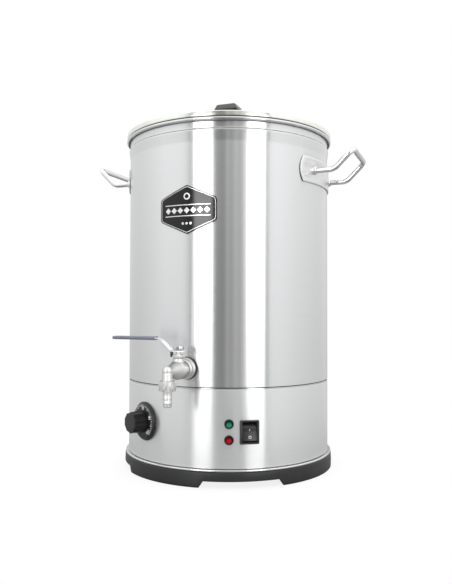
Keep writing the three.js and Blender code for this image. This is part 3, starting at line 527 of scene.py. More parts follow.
def lid_glass():
    material = new_material("lid_glass", (0.93, 0.97, 0.93), 0.03, Transmission_Weight=1.0, IOR=1.5)
    smears = noise(material, 25)
    vary_roughness(material, smears, 0.02, 0.06)
    vary_colour(material, smears, 0.98, 1.0)
    return material


def lens(name, colour):
    """A coloured lens with painted light and shade: a painted glow below its middle, painted shade towards
    its rim and its top.
    """
    material = new_material(name, colour, 0.12, Specular_IOR_Level=0.12, Emission_Strength=0.15)
    vary_colour(material, noise(material, 500), 0.8, 1.2)
    vary_roughness(material, noise(material, 900), 0.08, 0.2)
    # The painted glow and shade follow a fixed direction, out from the lamps' bearing and down.
    outward, upward = 0.88, -0.47
    painted_glow_direction = circle_point(outward, bearing("green_lamp_body"), upward)
    share = mapped(material.node_tree, looking(material.node_tree, painted_glow_direction), 0.45, 0.98, 0.06, 1.25)
    plug(material.node_tree, scale_colour(material, share), shader(material).inputs["Emission Color"])
    return material


def enamel(name, colour, roughness, gloss=0.5, **fixed):
    material = new_material(name, colour, roughness, Specular_IOR_Level=gloss, **fixed)
    peel = noise(material, 250)
    vary_colour(material, peel, 0.9, 1.1)
    vary_roughness(material, peel, roughness * 0.85, roughness * 1.2)
    add_bump(material, peel, 0.00003, 0.3)
    return material


MATERIALS = {
    "brushed_steel": brushed_steel("brushed_steel", (0.70, 0.705, 0.71), 0.25, 0.97),
    "polished_steel": polished_steel(),
    "cast_steel": cast_steel(),
    "zinc": plain_metal("zinc_plate", (0.5, 0.51, 0.53), 0.35),
    "aluminium": plain_metal("aluminium", (0.62, 0.63, 0.64), 0.45),
    "copper": plain_metal("copper", (0.7, 0.36, 0.24), 0.3),
    "black_plastic": moulded("black_plastic", (0.014, 0.014, 0.015), 0.4, wear=0.1),
    "dark_plastic": moulded("dark_plastic", (0.01, 0.01, 0.011), 0.34, wear=0.08),
    "white_plastic": moulded("white_plastic", (0.75, 0.73, 0.66), 0.5),
    "glass": lid_glass(),
    "black_enamel": enamel("black_enamel", (0.004, 0.004, 0.0045), 0.12, 0.36),
    "silicone": moulded("silicone", (0.035, 0.035, 0.037), 0.65, 900, 0.00005),
    "vinyl": moulded("vinyl", (0.16, 0.17, 0.225), 0.42, 700, 0.00006),
    "ptfe": moulded("ptfe", (0.82, 0.82, 0.8), 0.5),
    "green_lens": lens("green_lens", (0.015, 0.2, 0.13)),
    "red_lens": lens("red_lens", (0.4, 0.002, 0.006)),
}
HOUSING_STEEL = brushed_steel("housing_steel", (0.67, 0.68, 0.675), 0.32, 0.96, 0.7)
VALVE_STEEL = polished_steel("valve_steel", (0.66, 0.66, 0.67), 0.2)
NUT_STEEL = plain_metal("nut_steel", (0.7, 0.7, 0.69), 0.45)
# The cast, valve and nut steels get painted shade where they turn away from the eye.
for turned_part in (MATERIALS["cast_steel"], VALVE_STEEL, NUT_STEEL):
    shader(turned_part).inputs["Specular Tint"].default_value = (0.5, 0.5, 0.5, 1)
    paint_grazing_shade(turned_part, 0.55, 0.6)
ROD_STEEL = polished_steel("rod_steel", (0.8, 0.8, 0.805), 0.13)
# The handle rods get painted shade where they turn away from the eye too.
paint_grazing_shade(ROD_STEEL, 0.45, 0.55)
# The lid band's lighter cream-green tone is a painted reflection of the glass edge.
BAND_STEEL = polished_steel("band_steel", (0.80, 0.81, 0.75), 0.13)
PLATE_STEEL = polished_steel("plate_steel", (0.74, 0.745, 0.74), 0.34)
# Near-black steel for pieces that paint shade: under the rim's curl, in the seam and on the lever's stop tab.
SHADE_STEEL = plain_metal("painted_shade_steel", (0.07, 0.07, 0.07), 0.4)
KNOB_PLASTIC = moulded("knob_plastic", (0.022, 0.023, 0.023), 0.3, gloss=0.9)
DIAL_PLASTIC = moulded("dial_plastic_painted_light_and_shade", (0.022, 0.022, 0.023), 0.36, gloss=0.3)
# The dial gets painted shade on its flanks and a painted light of thirty times its colour on its back.
paint_bearing_light_and_shade(DIAL_PLASTIC, bearing("thermostat_shaft"), 0.12, 30)
# White print with a painted glow: its emission brightens the real printed marks.
PRINT_WHITE_PAINTED_GLOW = enamel(
    "print_white_painted_glow", (0.8, 0.8, 0.79), 0.4, Emission_Color=(0.8, 0.8, 0.8, 1), Emission_Strength=0.25,
)
BADGE_SILVER = plain_metal("badge_silver", (0.72, 0.72, 0.73), 0.28)


# ---------------------------------------------------------------- vessel, housing and foot
def arc(radius, height, size, start, end, steps=10):
    """Points of an arc in an outline, from one angle to another in degrees."""
    angles = [math.radians(start + (end - start) * i / steps) for i in range(steps + 1)]
    return [Vector((radius + size * math.cos(a), height + size * math.sin(a))) for a in angles]


def wall_hole(radius, azimuth, height):
    return on_wall(outwards(cylinder(radius, -8, 8, 48)), azimuth, height)


def build_vessel_wall():
    inner = BODY_RADIUS - SHEET
    bead = 1.7
    curl = 2.5
    curl_radius = BODY_RADIUS + 3
    curl_height = RIM_TOP - curl
    bottom = local_box("vessel_wall")[0].z
    seam_top = bottom + 1.1
    outline = [
        (inner, bottom),
        (BODY_RADIUS - 1, bottom),
        (BODY_RADIUS - 0.9, seam_top),
        (BODY_RADIUS, seam_top + 0.2),
        *softened([
            (BODY_RADIUS, BEAD_BOTTOM - 12), (BODY_RADIUS, BEAD_BOTTOM - 6),
            (BODY_RADIUS + bead, BEAD_BOTTOM + 7), (BODY_RADIUS + bead, BEAD_TOP - 1.4),
            (BODY_RADIUS, BEAD_TOP), (BODY_RADIUS, BEAD_TOP + 3),
        ], 1.9, closed=False, steps=6),
        *arc(curl_radius, curl_height, curl, -150, 90, 16),
        *softened([
            (curl_radius - 1, RIM_TOP), (inner, RIM_TOP), (inner, BEAD_TOP),
            (inner + bead, BEAD_TOP - 2), (inner + bead, BEAD_BOTTOM + 2), (inner, BEAD_BOTTOM),
            (inner, BEAD_BOTTOM - 4),
        ], 1.6, closed=False, steps=5),
    ]
    # A near-black ring under the rim's curl paints the shadow in the gap there.
    curl_bottom = curl_height - curl
    gap_inner, gap_outer = BODY_RADIUS + 0.3, curl_radius + 0.2
    shadow = turned([
        (gap_inner, curl_bottom + 0.3), (gap_outer, curl_bottom - 0.1),
        (gap_outer, curl_bottom + 0.6), (gap_inner, curl_bottom + 1.4),
    ], ROUND)
    make("wall_rim_gap_painted_shadow", shadow, SHADE_STEEL, "kettle")
    # A near-black ring in the seam's gap paints its shade, along with the joint's dark line.
    groove = ring(BODY_RADIUS - 0.95, BODY_RADIUS - 0.5, bottom, seam_top, ROUND)
    make("wall_seam_joint_and_painted_shade", groove, SHADE_STEEL, "kettle")
    hole = wall_hole(11, bearing("tap_inlet"), TAP_HEIGHT)
    make("vessel_wall_drawn", turned(outline, ROUND), MATERIALS["brushed_steel"], "kettle",
         ["vessel_wall"], cutters=[hole])


def build_vessel_floor():
    low, high = local_box("vessel_floor")
    bend = 4
    outline = [
        (0, high.z - SHEET),
        *arc(high.x - bend, high.z - bend, bend - SHEET, 90, 0, 5),
        (high.x - SHEET, low.z),
        (high.x, low.z),
        *arc(high.x - bend, high.z - bend, bend, 0, 90, 6),
        (0, high.z),
    ]
    make("vessel_floor_pressed", turned(outline, ROUND), MATERIALS["brushed_steel"], "kettle",
         ["vessel_floor"])


def build_lower_housing():
    low, high = local_box("lower_housing")
    inner = BODY_RADIUS - SHEET
    outline = [
        (inner, low.z), (BODY_RADIUS, low.z), *arc(BODY_RADIUS - 1, high.z - 1, 1, 0, 90, 4), (inner, high.z),
    ]
    cutout = slab(rounded_rectangle(22.4, 28.4, 1), -8, 8)
    cutters = [
        wall_hole(5, *wall_place("thermostat_shaft")),
        on_wall(outwards(cutout), *wall_place("switch_housing")),
    ]
    for fitting, radius in (("green_lamp_body", 5.4), ("red_lamp_body", 5.4), ("cable_gland", 8.4)):
        cutters.append(wall_hole(radius, *wall_place(fitting)))
    make("lower_housing_rolled", turned(outline, ROUND), HOUSING_STEEL, "kettle",
         ["lower_housing"], cutters=cutters)


def build_base_pan():
    low, high = local_box("base_pan")
    collar = BODY_RADIUS - SHEET - 0.3
    ledge = high.x
    ledge_underside = local_box("foot_ring")[1].z + 0.3
    ledge_top = ledge_underside + 2.7
    outline = [
        (0, low.z),
        *softened([
            (collar - 4, low.z), (collar, low.z), (collar, ledge_underside), (ledge, ledge_underside),
            (ledge, ledge_top), (collar, ledge_top), (collar, high.z), (collar - SHEET, high.z),
            (collar - SHEET, low.z + SHEET), (collar - 4, low.z + SHEET),
        ], 1.2, closed=False, steps=5),
        (0, low.z + SHEET),
    ]
    make("base_pan_pressed", turned(outline, ROUND), MATERIALS["polished_steel"], "kettle",
         ["base_pan"])


FOOT_COUNT = 4
NOTCH_HALF_WIDTH = 56.5


def build_foot_ring():
    high = local_box("foot_ring")[1]
    pan = local_box("base_pan")[0].z - 0.3
    inner = 135.5
    lip = BODY_RADIUS - SHEET
    outline = softened([
        (inner, 0), (high.x - 0.8, 0), (high.x, 2), (BODY_RADIUS + 4.8, high.z),
        (lip, high.z), (lip, pan), (inner, pan),
    ], 1.3, steps=4)
    first = bearing("foot_screw_1")
    notch_top = local_box("foot_screw_1")[0].z + 2.7
    slope = 6
    margin = 2
    spill = slope * margin / notch_top
    sides = [
        (-NOTCH_HALF_WIDTH - spill, -margin), (NOTCH_HALF_WIDTH + spill, -margin),
        (NOTCH_HALF_WIDTH - slope, notch_top), (-NOTCH_HALF_WIDTH + slope, notch_top),
    ]
    prism = outwards(slab(sides, -30, 20))
    cutters = [on_wall(prism, first + 360 / FOOT_COUNT * i, 0) for i in range(FOOT_COUNT)]
    make("foot_ring_moulded", turned(outline, ROUND), MATERIALS["black_plastic"], "kettle",
         ["foot_ring"], cutters=cutters, bevel=0.9, segments=3)


def build_cable_gland():
    reach = local_box("cable_gland")[1].y - BODY_RADIUS
    barrel = turned([
        (3.8, -12), (7.9, -12), (7.9, 0.5), (9.8, 0.5), (9.8, 9), (10.3, 9.6), (10.3, reach - 6),
        (9.6, reach - 3.4), (6.6, reach - 0.4), (5.4, reach), (3.8, reach - 0.8),
    ], SMALL_ROUND, 0.5)
    rib = shifted(slab(rounded_rectangle(1.2, 1.6, 0.4, 3), 10, reach - 6.4), y=10.2)
    rib_count = 18
    ribs = [moved(rib, Matrix.Rotation(2 * math.pi * i / rib_count, 4, "Z")) for i in range(rib_count)]
    flange = hex_nut(22, 0.3, 6, 7.9, 0.8)
    part = on_wall(outwards(merged(barrel, flange, *ribs)), *wall_place("cable_gland"))
    make("cable_gland_moulded", part, MATERIALS["dark_plastic"], "kettle", ["cable_gland"])


# ---------------------------------------------------------------- lid
def build_lid():
    glass_low, glass_high = local_box("lid_glass")
    edge = glass_high.x
    thickness = 2
    underside = glass_low.z
    rise = glass_high.z - underside - thickness
    dome = 148
    sphere = (dome ** 2 + rise ** 2) / (2 * rise)

    def dome_height(radius):
        return math.sqrt(sphere ** 2 - min(radius, dome) ** 2) - (sphere - rise)

    hole = 4
    radii = [hole + (dome - hole) * i / 24 for i in range(25)]
    outline = [(r, underside + dome_height(r)) for r in radii]
    outline += [(dome + 2, underside)]
    outline += softened([
        (dome + 2, underside), (edge, underside),
        (edge, underside + thickness), (dome + 2, underside + thickness),
    ], 0.8, closed=False)
    outline += [(r, underside + thickness + dome_height(r)) for r in reversed(radii)]
    make("lid_glass_pressed", turned(outline, ROUND), MATERIALS["glass"], "lid",
         ["lid_glass"], sharp=50)

    low, high = local_box("lid_band")
    skirt = BODY_RADIUS - SHEET - 1.2
    sheet = 0.8
    flange = RIM_TOP + 0.6
    top = underside + thickness + sheet + 0.1
    shelf = underside - 0.3
    shoulder = 1.6
    band = softened([
        (skirt - sheet, low.z), (skirt, low.z), (skirt, flange),
        (high.x - 0.3, flange), (high.x, flange + 1.2), (high.x, top - 0.9), (high.x - 0.8, top),
        (edge - 2.7, top), (edge - 2.7, top - sheet), (edge + 0.3, top - sheet), (edge + 0.3, shelf),
        (skirt - sheet, shelf), (skirt - sheet, shelf - sheet), (high.x - shoulder, shelf - sheet),
        (high.x - shoulder, flange + sheet), (skirt - sheet, flange + sheet),
    ], 1.1, steps=4)
    make("lid_band_rolled", turned(band, ROUND), BAND_STEEL, "lid", ["lid_band"])
    build_lid_knob()


def build_lid_knob():
    low, high = local_box("lid_knob")
    top = high.z
    widest = high.x
    levels = softened([
        (widest - 5.2, low.z), (widest - 6.2, low.z + 4), (widest - 6.2, top - 18),
        (widest - 3.2, top - 11.5), (widest, top - 9), (widest, top - 7.4), (widest - 2.8, top - 0.8),
        (widest - 5, top),
    ], 0.9, closed=False, steps=4)
    corner = 0.2
    loops = []
    for half, height in levels:
        outline = rounded_rectangle(2 * half, 2 * half, 2 * half * corner / 2, 8)
        loops.append([Vector((x, y, height)) for x, y in outline])
    hole = cylinder(2.4, low.z - 1, low.z + 15, 24)
    make("lid_knob_moulded", lofted(loops), KNOB_PLASTIC, "lid", ["lid_knob"],
         cutters=[hole], sharp=30)


# ---------------------------------------------------------------- handles
def filleted(points, radii, steps=10):
    """Rounds the inner corners of a path with arcs."""
    path = [points[0]]
    for i in range(1, len(points) - 1):
        before = (points[i - 1] - points[i]).normalized()
        after = (points[i + 1] - points[i]).normalized()
        half = before.angle(after) / 2
        reach = radii[i - 1] / math.tan(half)
        centre = points[i] + (before + after).normalized() * radii[i - 1] / math.sin(half)
        start = points[i] + before * reach - centre
        end = points[i] + after * reach - centre
        turn = start.angle(end)
        for step in range(steps + 1):
            t = step / steps
            arm = start * math.sin((1 - t) * turn) + end * math.sin(t * turn)
            path.append(centre + arm / math.sin(turn))
    path.append(points[-1])
    return path


def build_handle(side):
    azimuth = 90 * round(bearing(f"handle_rod_{side}") / 90)
    rod_low, rod_high = local_box(f"handle_rod_{side}")
    rod = 3.7
    leg_offset = rod_high.y - rod - 0.05
    leg_height = rod_low.z + rod + 0.05
    rise = rod_high.z - rod_low.z - 2 * rod
    reach = max(rod_high.x, -rod_low.x) - rod
    start = BODY_RADIUS - 0.1
    leg = [(-start, 0), (rise - reach, 0), (-reach, rise)]
    path = filleted([
        *(Vector((-leg_offset, *point)) for point in leg),
        *(Vector((leg_offset, *point)) for point in reversed(leg)),
    ], [16, 10, 10, 16])
    place = Matrix.Translation((0, 0, leg_height)) @ Matrix.Rotation(math.radians(azimuth), 4, "Z")
    make(f"handle_rod_{side}_bent", moved(swept(path, rod), place), ROD_STEEL, "kettle",
         [f"handle_rod_{side}"])

    inner = BODY_RADIUS + 0.4
    thickness = 1.8
    half_height = 17.8
    half_spread = 26.6
    bow = 2.4
    columns, rows = 96, 36
    leg_bearing = math.degrees(math.asin(leg_offset / (inner + thickness)))

    def relief(bearing_here, height):
        raised = 0.0
        for sign in (-1, 1):
            across = math.radians(bearing_here - sign * leg_bearing) * inner
            raised += 0.5 * math.exp(-((across ** 2 + height ** 2) / 110) ** 2)
            dimple = (across + sign * 2) ** 2 + (height - 11.5) ** 2
            raised -= 0.4 * math.exp(-dimple / 3)
        return raised

    outer_grid, inner_grid = [], []
    for row in range(rows + 1):
        height = half_height * (2 * row / rows - 1)
        spread = half_spread + bow * (1 - (height / half_height) ** 2)
        for column in range(columns + 1):
            share = 2 * column / columns - 1
            here = spread * share
            edge = min(half_height - abs(height), spread * (1 - abs(share)) * 2.6)
            rounded = 0.5 * max(0, 1 - edge / 1.1) ** 2
            outer_grid.append(circle_point(inner + thickness - rounded + relief(here, height), here, height))
            inner_grid.append(circle_point(inner, here, height))
    width = columns + 1
    faces = []
    for row in range(rows):
        for column in range(columns):
            a = row * width + column
            faces.append([a, a + 1, a + width + 1, a + width])
    offset = len(outer_grid)
    faces += [[index + offset for index in reversed(face)] for face in faces]
    rim = list(range(width)) + [row * width + columns for row in range(1, rows + 1)]
    rim += list(reversed(range(rows * width, rows * width + columns)))
    rim += [row * width for row in range(rows - 1, 0, -1)]
    for i, a in enumerate(rim):
        b = rim[(i + 1) % len(rim)]
        faces.append([a, a + offset, b + offset, b])
    plate = (outer_grid + inner_grid, faces)
    sockets = []
    socket = turned([(0, 142), (6.4, 142), (6, 147), (5.2, 148.8), (4.4, 149.6), (0, 149.6)], 48, 0.8)
    for sign in (-1, 1):
        sockets.append(shifted(outwards(socket), x=sign * leg_offset))
    make(f"handle_plate_{side}_stamped", moved(merged(plate, *sockets), place), PLATE_STEEL, "kettle",
         [f"handle_plate_{side}"], sharp=50)


# ---------------------------------------------------------------- badge
def badge_outline(shrink, corner=4.0, steps=5):
    """A six-sided outline with rounded corners, shrunk evenly from the plate's edge."""
    low, high = local_box("badge_plate")
    half_height = (high.z - low.z) / 2 - shrink * 1.1
    half_width = 41.2 - shrink
    shoulder = 15 - shrink * 0.5
    corners = [
        (0, half_height), (-half_width, shoulder), (-half_width, -shoulder),
        (0, -half_height), (half_width, -shoulder), (half_width, shoulder),
    ]
    return softened(corners, corner, steps=steps) if corner else [Vector(c) for c in corners]


def bent_to_wall(outlines, bottom, top, azimuth, height, strip=2.0):
    """Extrudes flat outlines (the first, less the others) and bends them round the wall."""
    flat = bmesh.new()
    loops = []
    for outline in outlines:
        loops.append([flat.verts.new((p[0], p[1], 0)) for p in outline])
    edges = []
    for loop in loops:
        for i, vertex in enumerate(loop):
            edges.append(flat.edges.new((vertex, loop[(i + 1) % len(loop)])))
    bmesh.ops.triangle_fill(flat, edges=edges, use_beauty=True)
    widest = max(abs(p[0]) for p in outlines[0])
    steps = math.ceil(widest / strip)
    for i in range(-steps + 1, steps):
        geometry = flat.verts[:] + flat.edges[:] + flat.faces[:]
        bmesh.ops.bisect_plane(flat, geom=geometry, plane_co=(i * strip, 0, 0), plane_no=(1, 0, 0))
    solid = bmesh.ops.extrude_face_region(flat, geom=flat.faces[:])
    for element in solid["geom"]:
        if isinstance(element, bmesh.types.BMVert):
            element.co.z = 1
    # The cuts leave the corners in no fixed order, so they are put in order of place.
    in_order = sorted(flat.verts, key=lambda vertex: [round(share, 4) for share in vertex.co])
    numbers = {vertex: number for number, vertex in enumerate(in_order)}
    vertices = []
    for vertex in in_order:
        radius = BODY_RADIUS + (top if vertex.co.z > 0.5 else bottom)
        bearing_here = azimuth + math.degrees(vertex.co.x / BODY_RADIUS)
        vertices.append(circle_point(radius, bearing_here, height + vertex.co.y))
    faces = []
    for face in flat.faces:
        corners = [numbers[vertex] for vertex in face.verts]
        lowest = corners.index(min(corners))
        faces.append(corners[lowest:] + corners[:lowest])
    flat.free()
    return vertices, sorted(faces)


def disc_outline(radius, x=0.0, y=0.0, steps=32):
    return [Vector((x + radius * math.cos(a), y + radius * math.sin(a))) for a in full_turn(steps)]


def build_badge():
    azimuth = -0.8
    height = middle_height("badge_plate")
    face = 1.5
    rule_length, rule_width = 66, 1.1
    lozenge_pitch, lozenge_half, lozenge_height = 9.4, 4.2, -1.1

    def mark(*outlines):
        return bent_to_wall(outlines, face - 0.1, face + 0.06, azimuth, height)

    plate = bent_to_wall([badge_outline(0)], 0.5, face, azimuth, height)
    make("badge_plate_enamelled", plate, MATERIALS["black_enamel"], "kettle", ["badge_plate"])
    marks = [mark(badge_outline(1.5), badge_outline(2.2))]
    for y in (6.2, -8.4):
        half, low, high = rule_length / 2, y - rule_width / 2, y + rule_width / 2
        marks.append(mark([(-half, low), (half, low), (half, high), (-half, high)]))
    for i in range(-3, 4):
        x, y, size = i * lozenge_pitch, lozenge_height, lozenge_half
        marks.append(mark([(x - size, y), (x, y - size), (x + size, y), (x, y + size)]))
    marks.append(mark(disc_outline(4.6, 0, 17.5), disc_outline(2.9, 0, 17.5)))
    for x in (-5.6, 0, 5.6):
        marks.append(mark(disc_outline(1.7, x, -18.5)))
    make("badge_marks_printed", merged(*marks), BADGE_SILVER, "kettle")


# ---------------------------------------------------------------- tap
TAP_HEIGHT = middle_height("tap_backnut")
STEM_REACH = -(local_box("tap_stem")[0].y + local_box("tap_stem")[1].y) / 2 - BODY_RADIUS
SPOUT_REACH = -(local_box("hose_tail")[0].y + local_box("hose_tail")[1].y) / 2 - BODY_RADIUS
TAP_AZIMUTH = bearing("tap_stem")
TAP_BORE = 5.2


def at_tap(part, reach=0.0):
    """Heights from the tap's axis; reach is the distance out from the wall."""
    return on_wall(shifted(part, y=-reach), TAP_AZIMUTH, TAP_HEIGHT)


def build_tap():
    cast = MATERIALS["cast_steel"]
    washer = ring(10.7, 15, 0.3, 3, 96, 0.7)
    make("tap_washer_outer_moulded", at_tap(outwards(washer)), MATERIALS["silicone"], "kettle",
         ["tap_washer_outer"])
    backnut = hex_nut(27, -11, -4.9, 10.7, 1.2)
    make("tap_backnut_turned", at_tap(outwards(backnut)), cast, "kettle", ["tap_backnut"])

    collar = 9.5
    chamber = 8.6
    back = STEM_REACH - 10.6
    inlet = softened([
        (TAP_BORE, -20), (9.6, -20), (10.3, -19.2), (10.3, 3.3), (14.3, 3.3), (14.3, 6.2), (13, 6.9),
        (13, 7.2), (14, 7.8), (14, collar), (chamber, collar), (chamber, back), (TAP_BORE, back),
    ], 0.45)
    make("tap_inlet_turned", at_tap(outwards(turned(inlet, 96))), cast, "kettle", ["tap_inlet"])

    stem_hole = 3.4
    spout_radius = 6.4
    spout_bore = 4.4
    knee_rise = 1.2
    shell = outwards(turned([
        (0, collar + 0.3), (12.6, collar + 0.3), (12.6, collar + 2.7), (11.2, collar + 3.4),
        (11.2, collar + 5.6), (12.4, STEM_REACH - 6), (12.4, STEM_REACH + 4), (11.2, STEM_REACH + 7),
        (spout_radius + 1, SPOUT_REACH - 9), (spout_radius, SPOUT_REACH), (0, SPOUT_REACH),
    ], 96))
    ball = [(spout_radius * math.cos(math.radians(a)), spout_radius * math.sin(math.radians(a)))
            for a in range(-80, 90, 10)]
    knee = shifted(turned([(0, -spout_radius), *ball, (0, spout_radius)], 64), y=-SPOUT_REACH, z=knee_rise)
    spout = shifted(turned([
        (0, -19), (6.8, -19), (6.8, -10.2), (spout_radius - 0.4, knee_rise), (0, knee_rise),
    ], 64), y=-SPOUT_REACH)
    neck = shifted(turned([
        (0, 0), (7.6, 0), (7.6, 11.5), (6.6, 12.2), (6.6, 15), (0, 15),
    ]), y=-STEM_REACH)
    chamber_end = STEM_REACH + 10.6
    cutters = [
        outwards(cylinder(9, collar - 1, chamber_end, 48)),
        outwards(cylinder(spout_bore, 20, SPOUT_REACH, 32)),
        shifted(cylinder(spout_bore, -22, 2, 32), y=-SPOUT_REACH),
        shifted(cylinder(stem_hole, 4, 18, 32), y=-STEM_REACH),
    ]
    make("tap_body_cast", at_tap(merged(shell, knee, spout, neck)), cast, "kettle",
         ["tap_body"], voxel=0.45, cutters=[at_tap(cutter) for cutter in cutters],
         sharp=70)
    build_tap_outlet(cast)
    build_tap_valve(cast)


def build_tap_outlet(cast):
    nut = hex_nut(19.2, -22.4, -11, 7.1, 0.9)
    flange = hex_nut(20, -23.4, -21.8, 7.1, 0.5)
    floor_ring = ring(5.8, 7.6, -23.2, -22.2)
    make("hose_nut_turned", at_tap(merged(nut, flange, floor_ring), SPOUT_REACH), NUT_STEEL, "kettle",
         ["hose_nut"])
    end = local_box("hose_tail")[0].z - TAP_HEIGHT
    outline = [(3.8, end), (4.7, end), (5.3, end + 1)]
    for top in (end + 9.5, end + 15.1):
        outline += [(5.3, top - 5.9), (5.9, top - 4.8), (5.3, top - 0.2)]
    outline += [(5.4, -21.9), (6.6, -21.9), (6.6, -20.7), (3.8, -20.7)]
    make("hose_tail_turned", at_tap(turned(outline, 64, 0.3), SPOUT_REACH), cast, "kettle",
         ["hose_tail"])


def build_tap_valve(cast):
    gland = hex_nut(13, 15.3, 20, 3.4, 0.8)
    make("tap_gland_nut_turned", at_tap(gland, STEM_REACH), cast, "kettle",
         ["tap_gland_nut"])
    hub = 23
    threads = []
    for i in range(8):
        z = hub + 2.6 + 0.75 * i
        threads += [(2.95, z), (2.6, z + 0.38)]
    stem = turned([(0, 8.8), (3, 8.8), (3, hub + 2), *threads, (2.6, hub + 9.5), (0, hub + 9.5)], 48)
    make("tap_stem_turned", at_tap(stem, STEM_REACH), VALVE_STEEL, "tap_valve",
         ["tap_stem"])
    nut = hex_nut(12, hub + 2.3, hub + 8, 3.3, 0.9)
    make("lever_nut_turned", at_tap(nut, STEM_REACH), VALVE_STEEL, "tap_valve",
         ["lever_nut"])

    grip = middle_height("lever_sleeve") - TAP_HEIGHT
    length = local_box("tap_stem")[0].x + 3 - local_box("lever_sleeve")[0].x
    half = 1.0
    corners = [(8, hub + half), (-10, hub + half), (-26.2, grip), (-length + 4, grip)]
    middle = filleted([Vector((x, 0, z)) for x, z in corners], [5, 7])
    section = [
        (-1, -0.7), (-0.94, -1), (0.94, -1), (1, -0.7), (1, 0.7), (0.94, 1), (-0.94, 1), (-1, 0.7),
    ]
    loops = []
    for i, point in enumerate(middle):
        before = middle[max(i - 1, 0)]
        after = middle[min(i + 1, len(middle) - 1)]
        along = (after - before).normalized()
        up = Vector((-along.z, 0, along.x)) * -1
        from_end = min(abs(point.x - 8), 5)
        width = 5 * math.sqrt(1 - ((5 - from_end) / 6) ** 2)
        loops.append([point + up * half * v + Vector((0, width * u, 0)) for u, v in section])
    strip = lofted(loops)
    tab = shifted(slab(rounded_rectangle(1.6, 6, 0.5), hub - 6.3, hub + 0.4), x=-9.4)
    hole = cylinder(3.3, hub - 4, hub + 5, 32)
    make("tap_lever_pressed", at_tap(strip, STEM_REACH), MATERIALS["polished_steel"], "tap_valve",
         ["tap_lever"], cutters=[at_tap(hole, STEM_REACH)])
    # The stop tab is a real part, coloured near black as painted shade.
    make("tap_lever_stop", at_tap(tab, STEM_REACH), SHADE_STEEL, "tap_valve")

    loops = []
    stations = [(32, 0.8), (32.4, 0.98), (34, 1.0), (35, 0.95), (length - 6, 0.95), (length - 2.6, 0.9),
                (length - 1, 0.72), (length - 0.25, 0.42), (length, 0.12)]
    for out, scale in stations:
        loop = []
        for x, z in rounded_rectangle(13.2 * scale, 4.6 * min(1, scale * 1.02), 2.25 * scale, 8):
            loop.append(Vector((-out, x, grip + z)))
        loops.append(loop)
    make("lever_sleeve_dipped", at_tap(lofted(loops), STEM_REACH), MATERIALS["vinyl"], "tap_valve",
         ["lever_sleeve"], sharp=60)


# ---------------------------------------------------------------- controls
def glyph(character):
    """Strokes of a numeral in a box one unit high and 0.6 wide."""
    arcs = {
        "0": [[(0.3 + 0.3 * math.cos(a), 0.5 + 0.5 * math.sin(a)) for a in
               (2 * math.pi * i / 12 for i in range(13))]],
        "1": [[(0.12, 0.8), (0.34, 1), (0.34, 0)]],
        "3": [[(0.05, 0.92), (0.3, 1), (0.54, 0.82), (0.5, 0.6), (0.26, 0.53), (0.54, 0.42), (0.58, 0.18),
               (0.3, 0), (0.04, 0.1)]],
        "5": [[(0.54, 1), (0.1, 1), (0.06, 0.56), (0.34, 0.62), (0.58, 0.42), (0.54, 0.12), (0.28, 0),
               (0.04, 0.08)]],
        "7": [[(0.03, 1), (0.58, 1), (0.22, 0)]],
        "9": [[(0.54, 0.66), (0.4, 0.46), (0.12, 0.5), (0.05, 0.76), (0.28, 1), (0.54, 0.82), (0.52, 0.3),
               (0.34, 0), (0.1, 0.04)]],
    }
    return arcs[character]


def stroke(points, width, bottom, top):
    """A printed line: one thin box per stretch."""
    parts = []
    for start, end in zip(points, points[1:]):
        start, end = Vector(start), Vector(end)
        along = (end - start).normalized() * width / 2
        across = Vector((-along.y, along.x))
        corners = [start - along - across, end + along - across, end + along + across, start - along + across]
        parts.append(slab([(c.x, c.y) for c in corners], bottom, top))
    return merged(*parts)


def build_thermostat():
    place = wall_place("thermostat_shaft")
    shaft_hole = 3.4
    skirt = 26.5
    skirt_face = 5
    reach = 26
    grip_radius = 14.5
    disc = turned([
        (shaft_hole, 3), (skirt - 4.5, 3), (skirt - 1.5, 0.8), (skirt, 0.8), (skirt, 1.8),
        (skirt - 3.5, skirt_face), (shaft_hole, skirt_face),
    ], 128, 0.3)
    lobes = 10
    loops = []
    profile = softened([
        (grip_radius * 1.06, 4.6), (grip_radius * 0.98, reach - 0.9), (grip_radius * 0.9, reach),
        (grip_radius * 0.5, reach), (0.4, reach),
    ], 0.6, closed=False, steps=3)
    for radius, out in profile:
        depth = 1.5 * max(0, radius / grip_radius - 0.4)
        loop = []
        for angle in full_turn(lobes * 16):
            hollow = 1 - abs(math.cos(lobes / 2 * angle)) ** 1.5
            loop.append(polar(radius - depth * (1 - hollow) + depth * 0.1, angle, out))
        loops.append(loop)
    hole = on_wall(outwards(cylinder(shaft_hole, 0, 21, 32)), *place)
    make("thermostat_skirt_moulded", on_wall(outwards(disc), *place), DIAL_PLASTIC, "thermostat_dial",
         ["thermostat_knob"])
    make("thermostat_grip_moulded", on_wall(outwards(lofted(loops)), *place), DIAL_PLASTIC,
         "thermostat_dial", cutters=[hole], sharp=28)

    marks = []
    first, sweep = 225, 270
    steps = 32
    printed = (skirt_face - 0.05, skirt_face + 0.07)
    for i in range(steps + 1):
        angle = first - sweep * i / steps
        long_tick = i % 4 == 0
        start, end = (19.4 if long_tick else 20.4), 22.8
        width = 0.7 if long_tick else 0.5
        turn = Matrix.Rotation(math.radians(angle), 4, "Z")
        marks.append(moved(stroke([(start, 0), (end, 0)], width, *printed), turn))
    size = 3.4
    baseline = 16
    advance = 0.78 * size
    for k, number in enumerate(("30", "50", "70", "90", "110")):
        angle = first - sweep * k / 4
        left = -advance * len(number) / 2 + 0.09 * size
        for position, character in enumerate(number):
            for line in glyph(character):
                points = [(left + advance * position + x * size, baseline + y * size) for x, y in line]
                mark = stroke(points, 0.6, *printed)
                marks.append(moved(mark, Matrix.Rotation(math.radians(angle - 90), 4, "Z")))
    make("thermostat_scale_printed", on_wall(outwards(merged(*marks)), *place), PRINT_WHITE_PAINTED_GLOW,
         "thermostat_dial")


